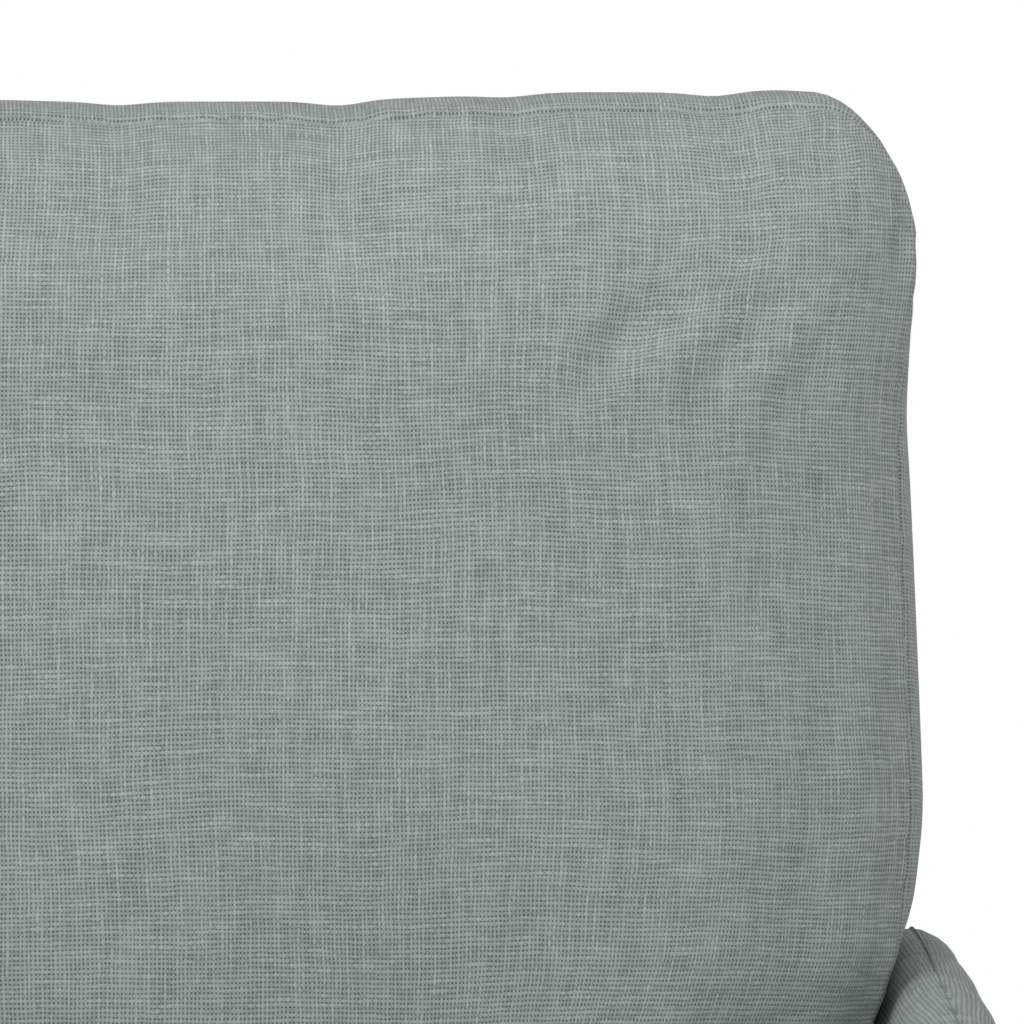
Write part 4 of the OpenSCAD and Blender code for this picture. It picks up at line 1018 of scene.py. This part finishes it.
class GLIDER_OT_seat_cushion(bpy.types.Operator):
    """Makes the boxed seat cushion on its deck, flat below and crowned above"""
    bl_idname = "glider.seat_cushion"
    bl_label = "Seat cushion"

    def execute(self, context):
        sizes = context.scene.glider_sizes
        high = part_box("seat_cushion")[1]
        length = (high.y - FRONT_Y) / math.cos(sizes.seat_tilt) - 0.007
        half = high.x - 0.0035
        edges = round_outline(box_corners(-half, 0.004, half, length), [(0.045, 0.045)] * 4)
        crown = 0.022
        above = Panel(edges, crown, (0.080, 0.080, 0.075, 0.080), 0.004)
        below = Panel(edges, 0.0115, (0.030, 0.030, 0.030, 0.030), 0.0)

        def bulge(x, y):
            return 0.0025 + 0.0035 * (1 - smooth(y, 0.01, 0.06)) * (1 - smooth(np.abs(x), half - 0.03, half))

        def creases(x, y, near):
            wave = np.sin(x * 21 + 1.5 * np.sin(y * 9)) * np.sin(y * 17 + 2 * np.sin(x * 8 + 1))
            return 0.0009 * wave * smooth(near, 0.004, 0.03)

        cover = Cover("seat_cushion_cover", above, below, sizes.seat_depth - crown - 0.006, 0.0125,
                      in_seat(sizes), bulge, None, creases)
        sim = {"spare": 0.008, "pressure": 2.5, "cap": 0.005}
        made = cover.build(sizes.mesh_step, NEAR_SEAM, sim, linen())
        finish_piece(made, LINEN, "seat_cushion", fill=0.75)
        return {"FINISHED"}


class GLIDER_OT_arms(bpy.types.Operator):
    """Makes both padded arms, each of two panels sewn together along the crest"""
    bl_idname = "glider.arms"
    bl_label = "Arms"

    def execute(self, context):
        sizes = context.scene.glider_sizes
        low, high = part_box("arm_upholstery_left")
        centre, half = (low.x + high.x) / 2, (high.x - low.x) / 2
        back = in_back(sizes)
        cos, sin = math.cos(sizes.rake), math.sin(sizes.rake)
        foot = back(0.0, 0.0, -0.0005)
        rear_low, rear_top = foot[1], high.y - 0.004
        # the crest's top, its height at the front, and the length over which it turns down from level
        peak, front_top, dome = high.z - 0.001, 0.584, 0.150
        crest_rear = rear_top - 0.035
        slope = (peak - front_top) / (crest_rear - (low.y + 0.044) - dome / 2)

        def crest(y):
            """How far the crest has come down from its peak: level at the rear, then an even slope."""
            back_from = np.clip(crest_rear - y, 0, None)
            fall = np.where(back_from < dome, back_from ** 2 / (2 * dome), back_from - dome / 2)
            return -slope * np.minimum(fall, (crest_rear - low.y) - dome / 2)

        lean = (peak - BODY_Z) * math.tan(sizes.rake)
        front = low.y + 0.001
        corners = [(front, BODY_Z), (rear_low, BODY_Z), (rear_low + lean, peak), (front, peak)]
        radii = [(0.012, 0.012), (0.012, 0.012), (0.060, 0.062), (0.050, 0.050)]
        edges = round_outline(corners, radii, crest)
        reach = (0.044, 0.044, 0.008, 0.148)

        def pocket(y, z, rise):
            """Below the deck the inner side is only the panel's own cover, because the rails are there."""
            deck = DECK_Z - (y - FRONT_Y) * math.tan(sizes.seat_tilt)
            below = 1 - smooth(z, deck - 0.016, deck - 0.004)
            along = smooth(y, low.y + 0.032, low.y + 0.040)
            to_back = (y - foot[1]) * cos - (z - BODY_Z) * sin
            along = along * (1 - smooth(to_back, -0.062, -0.054))
            return rise + (np.minimum(rise, 0.0098) - rise) * below * along

        def creases(y, z, near):
            wave = np.sin(y * 23 + 2 * np.sin(z * 11)) * np.sin(z * 16 + 1.3 * np.sin(y * 9))
            pulled = np.sin(y * 2 * math.pi / 0.055 + 2 * np.sin(y * 13))
            return 0.0008 * wave + 0.0005 * pulled * np.exp(-(near / 0.04) ** 2) * smooth(near, 0.003, 0.012)

        def narrow_crest(t):
            """A 20 mm round crest, then a flank that eases evenly into the full thickness."""
            radius, round_depth, flank_depth, steepness, full = 0.020, 0.013, 0.135, 0.374, 0.0440
            depth = np.clip(t, 0, 1) * reach[3]
            turn = np.minimum(depth, round_depth)
            crown = np.sqrt(np.maximum(2 * radius * turn - turn ** 2, 0))
            flank = np.clip(depth - round_depth, 0, flank_depth)
            return (crown + steepness * (flank - flank ** 2 / (2 * flank_depth))) / full

        for name, side in (("left", 1.0), ("right", -1.0)):
            outer = Panel(edges, half, reach, top_edge=narrow_crest)
            inner = Panel(edges, half, (0.026, *reach[1:]), 0.0, pocket, narrow_crest)

            def place(a, b, c, side=side):
                return np.stack([side * (centre - c), a, b], -1)
            cover = Cover(f"arm_cover_{name}", outer, inner, 0.0, 0.0, place, detail=creases,
                          groove=0.0012, pucker=0.0003)
            made = cover.build(sizes.mesh_step, (0.0012, 0.0030, 0.0055, 0.0085), None, linen())
            finish_piece(made, LINEN, f"arm_upholstery_{name}", fill=0.85)
        return {"FINISHED"}


class GLIDER_OT_outer_back(bpy.types.Operator):
    """Makes the outer back: a taut boxed shell, narrow between the arms and wider above them"""
    bl_idname = "glider.outer_back"
    bl_label = "Outer back"

    def execute(self, context):
        sizes = context.scene.glider_sizes
        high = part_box("outer_back")[1]
        cos = math.cos(sizes.rake)
        top = (high.z - BODY_Z - sizes.back_depth * math.sin(sizes.rake)) / cos
        half, waist = high.x - 0.002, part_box("front_apron")[1].x + 0.0004
        # where it widens, just over the arms
        ear = (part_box("arm_upholstery_left")[1].z - BODY_Z) / cos + 0.004
        radii = [(0.006, 0.006), (0.006, 0.006), (0.062, 0.062), (0.062, 0.062)]
        edges = round_outline(box_corners(-half, 0.001, half, top), radii)
        behind = Panel(edges, 0.008, (0.040, 0.040, 0.012, 0.040), 0.0035)
        ahead = Panel(edges, 0.006, (0.020, 0.020, 0.010, 0.020), 0.0)

        def warp(x, z):
            inward = (half - waist) * (1 - smooth(z, ear, ear + 0.045))
            return x - np.sign(x) * inward * smooth(np.abs(x), 0.05, half), z

        def bulge(x, z):
            return 0.0012 * smooth(z, 0.01, 0.05)

        def creases(x, z, near):
            wave = np.sin(x * 15 + 2 * np.sin(z * 7)) * np.sin(z * 11 + 2 * np.sin(x * 5))
            return 0.0007 * wave * smooth(near, 0.004, 0.03)

        cover = Cover("outer_back_cover", behind, ahead, -0.0095, -sizes.back_depth + 0.0065, in_back(sizes),
                      bulge, warp, creases, 0.0012, 0.0002)
        made = cover.build(sizes.mesh_step * 1.2, NEAR_SEAM, None, linen())
        finish_piece(made, LINEN, "outer_back", fill=0.9)
        return {"FINISHED"}


class GLIDER_OT_front_apron(bpy.types.Operator):
    """Makes the padded apron below the seat cushion"""
    bl_idname = "glider.front_apron"
    bl_label = "Front apron"

    def execute(self, context):
        sizes = context.scene.glider_sizes
        low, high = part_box("front_apron")
        half = high.x + 0.0016
        edges = round_outline(box_corners(-half, low.z, half, high.z), [(0.006, 0.006)] * 4)
        ahead = Panel(edges, 0.0085, (0.006, 0.006, 0.014, 0.014), 0.0015)
        behind = Panel(edges, 0.0030, (0.004, 0.004, 0.004, 0.004), 0.0)

        def place(a, b, c):
            return np.stack([a, c, b], -1)

        def creases(x, z, near):
            return 0.0006 * np.sin(x * 31 + 2 * np.sin(z * 13)) * smooth(near, 0.004, 0.02)

        seam = high.y - 0.0032
        cover = Cover("front_apron_cover", ahead, behind, seam, seam, place, detail=creases,
                      groove=0.0004, pucker=0.0002)
        made = cover.build(sizes.mesh_step, (0.0012, 0.0030, 0.0060), None, linen())
        finish_piece(made, LINEN, "front_apron", fill=0.9)
        return {"FINISHED"}


class GLIDER_OT_seat_deck(bpy.types.Operator):
    """Makes the felted pad that lies on the springs under the seat cushion"""
    bl_idname = "glider.seat_deck"
    bl_label = "Seat deck pad"

    def execute(self, context):
        sizes = context.scene.glider_sizes
        low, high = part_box("seat_deck")
        start = (low.y - FRONT_Y) / math.cos(sizes.seat_tilt) + 0.0005
        length = (high.y - FRONT_Y) / math.cos(sizes.seat_tilt) - 0.001
        edges = round_outline(box_corners(low.x, start, high.x, length), [(0.006, 0.006)] * 4)
        above = Panel(edges, 0.0035, (0.012, 0.012, 0.012, 0.012), 0.0)
        below = Panel(edges, 0.0035, (0.012, 0.012, 0.012, 0.012), 0.0)

        def creases(x, y, near):
            return 0.0003 * np.sin(x * 43 + 2 * np.sin(y * 23)) * np.sin(y * 37) - 0.0004

        depth = 0.0095
        cover = Cover("seat_deck_pad", above, below, -depth / 2, -depth / 2, in_seat(sizes), detail=creases,
                      groove=0.0003, pucker=0.0001)
        made = cover.build(0.009, (0.0015, 0.004), None, finishing_of("seat_deck"))
        finish_piece(made, "deck_cloth", "seat_deck", fill=0.9)
        return {"FINISHED"}


class GLIDER_OT_back_webbing(bpy.types.Operator):
    """Makes the elastic webbing straps across the back frame"""
    bl_idname = "glider.back_webbing"
    bl_label = "Back webbing"

    def execute(self, context):
        sizes = context.scene.glider_sizes
        place = in_back(sizes)
        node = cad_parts["back_webbing"]
        points = np.array([v.co for v in node.data.vertices])
        sin, cos = math.sin(sizes.rake), math.cos(sizes.rake)
        origin = place(0.0, 0.0, 0.0)
        up = (points[:, 1] - origin[1]) * sin + (points[:, 2] - origin[2]) * cos
        out = (points[:, 1] - origin[1]) * cos - (points[:, 2] - origin[2]) * sin
        half = points[:, 0].max()
        levels = np.unique(np.round(up, 4))
        middle, thick = (out.min() + out.max()) / 2, out.max() - out.min()
        u = np.linspace(-half, half, 61)
        for k in range(len(levels) // 2):
            low, high = levels[2 * k], levels[2 * k + 1]
            v = np.linspace(low, high, 9)
            x, z = np.meshgrid(u, v, indexing="ij")
            sag = 0.0010 * (1 - (x / half) ** 2) * (0.6 + 0.4 * math.sin(k * 2.1))
            strap = place(x, z, middle - sag)
            made = strip_of_cloth(f"back_strap_{k + 1}", strap, thick * 0.9, finishing_of("back_webbing"))
            finish_piece(made, "elastic_webbing", "back_webbing")
        return {"FINISHED"}


class GLIDER_OT_dust_cover(bpy.types.Operator):
    """Makes the thin cloth under the seat, with small waves along its edge, and its staples"""
    bl_idname = "glider.dust_cover"
    bl_label = "Dust cover"

    def execute(self, context):
        sizes = context.scene.glider_sizes
        low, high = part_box("dust_cover")
        u, v = np.linspace(low.x, high.x, 91), np.linspace(low.y, high.y, 101)
        x, y = np.meshgrid(u, v, indexing="ij")
        inset = np.minimum(np.minimum(x - low.x, high.x - x), np.minimum(y - low.y, high.y - y))
        loose = smooth(inset, 0.012, 0.12)
        wave = np.sin(x * 29 + 2.2 * np.sin(y * 13)) * np.sin(y * 19 + 1.7 * np.sin(x * 11))
        drawn = np.sin((x + y) * 2 * math.pi / 0.038) * np.exp(-inset / 0.02) * smooth(inset, 0.002, 0.01)
        z = (low.z + high.z) / 2 - 0.0045 * loose + 0.0012 * wave * loose + 0.0005 * drawn
        made = strip_of_cloth("dust_cover_sheet", np.stack([x, y, z], -1), 0.0005, finishing_of("dust_cover"))
        finish_piece(made, "cambric", "dust_cover")
        edge = 0.009
        ring = np.array(box_corners(low.x + edge, low.y + edge, high.x - edge, high.y - edge))
        path = np.concatenate([ring, np.full((4, 1), (low.z + high.z) / 2 - 0.0004)], 1)
        staples = repeat_along("dust_cover_staples", [path], sizes.staple_pitch, staple_shape(),
                               finishing_of("frame_screws"), 7)
        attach(staples, BODY)
        return {"FINISHED"}


class GLIDER_OT_seam_stitches(bpy.types.Operator):
    """Sews the covers' seams: a line of lock stitches in each groove"""
    bl_idname = "glider.seam_stitches"
    bl_label = "Seam stitches"

    def execute(self, context):
        sizes = context.scene.glider_sizes
        paths, outward = [], []
        for name, seams in SEAMS.items():
            if name == "seat_deck_pad":
                continue
            for seam, drawn in seams:
                middle = seam.mean(0)
                ahead = np.roll(seam, -1, axis=0) - np.roll(seam, 1, axis=0)
                ahead /= np.linalg.norm(ahead, axis=1, keepdims=True)
                away = seam - middle
                away -= (away * ahead).sum(1)[:, None] * ahead
                away /= np.linalg.norm(away, axis=1, keepdims=True)
                paths.append(seam + away * (0.0014 * drawn - 0.0012)[:, None])
                outward.append(away)
        made = repeat_along("seam_stitches", paths, sizes.stitch_pitch, stitch_shape(sizes),
                            sewing_thread(), 3, outward)
        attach(made, BODY)
        return {"FINISHED"}


class GLIDER_OT_stage(bpy.types.Operator):
    """Sets the floor, the soft light and the close camera on the back cushion's upper corner"""
    bl_idname = "glider.stage"
    bl_label = "Stage"

    def execute(self, context):
        scene = context.scene
        mesh = bpy.data.meshes.new("studio_floor")
        edge = 30.0
        mesh.from_pydata([(*c, 0) for c in box_corners(-edge, -edge, edge, edge)], [], [(0, 1, 2, 3)])
        mesh.materials.append(matt_floor(scene.glider_colours))
        ground = bpy.data.objects.new("studio_floor", mesh)
        scene.collection.objects.link(ground)

        world = bpy.data.worlds.new("studio")
        world.use_nodes = True
        tree = world.node_tree
        tree.nodes.clear()
        seen = add(tree, "LightPath")
        around = add(tree, "Background", {"Color": (1.0, 1.0, 1.0, 1), "Strength": 0.30})
        white = add(tree, "Background", {"Color": (1.0, 1.0, 1.0, 1), "Strength": 1.0})
        both = add(tree, "MixShader", {0: seen.outputs["Is Camera Ray"], 1: around, 2: white})
        add(tree, "OutputWorld", {"Surface": both})
        scene.world = world
        scene.view_settings.view_transform = "Standard"

        for name, spot, target, size, power in (
                ("key", (-2.0, -2.6, 2.2), (0.1, 0.1, 0.75), 1.6, 44.0),
                ("overhead", (0.2, -0.4, 3.4), (0.0, 0.1, 0.8), 2.4, 29.0),
                ("fill", (0.4, -3.2, 0.5), (0.1, 0.1, 0.6), 2.0, 3.0)):
            lamp = bpy.data.lights.new(name, "AREA")
            lamp.shape = "DISK"
            lamp.size = size
            lamp.energy = power
            made = bpy.data.objects.new(name, lamp)
            made.location = spot
            made.rotation_euler = (Vector(target) - Vector(spot)).to_track_quat("-Z", "Y").to_euler()
            scene.collection.objects.link(made)

        low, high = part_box("back_cushion")
        aim = Vector((high.x - 0.165, (low.y + high.y) / 2 - 0.03, high.z - 0.171))
        eye = Vector((aim.x - 0.114, aim.y - 2.65, aim.z + 0.220))
        lens = bpy.data.cameras.new("close_view")
        lens.lens = 229.0
        lens.sensor_width = 36.0
        camera = bpy.data.objects.new("close_view", lens)
        camera.location = eye
        camera.rotation_euler = (aim - eye).to_track_quat("-Z", "Y").to_euler()
        scene.collection.objects.link(camera)
        scene.camera = camera
        return {"FINISHED"}


class GLIDER_PT_panel(bpy.types.Panel):
    """Lists the pieces of the chair and what can be changed on them"""
    bl_idname = "GLIDER_PT_panel"
    bl_label = "Glider chair"
    bl_space_type = "VIEW_3D"
    bl_region_type = "UI"
    bl_category = "Glider"

    def draw(self, context):
        for group in (context.scene.glider_sizes, context.scene.glider_colours):
            for name in group.__annotations__:
                self.layout.prop(group, name)
        for operator in OPERATORS:
            self.layout.operator(operator.bl_idname)


OPERATORS = (GLIDER_OT_stage, GLIDER_OT_frame_finishes, GLIDER_OT_back_cushion, GLIDER_OT_seat_cushion,
             GLIDER_OT_arms, GLIDER_OT_outer_back, GLIDER_OT_front_apron, GLIDER_OT_seat_deck,
             GLIDER_OT_back_webbing, GLIDER_OT_dust_cover, GLIDER_OT_seam_stitches)
CLASSES = (GliderSizes, GliderColours, *OPERATORS, GLIDER_PT_panel)


def register():
    for each in CLASSES:
        bpy.utils.register_class(each)
    bpy.types.Scene.glider_sizes = PointerProperty(type=GliderSizes)
    bpy.types.Scene.glider_colours = PointerProperty(type=GliderColours)


def unregister():
    del bpy.types.Scene.glider_sizes
    del bpy.types.Scene.glider_colours
    for each in reversed(CLASSES):
        bpy.utils.unregister_class(each)


def main():
    register()
    for operator in OPERATORS:
        group, name = operator.bl_idname.split(".")
        getattr(getattr(bpy.ops, group), name)()


if __name__ == "__main__":
    main()
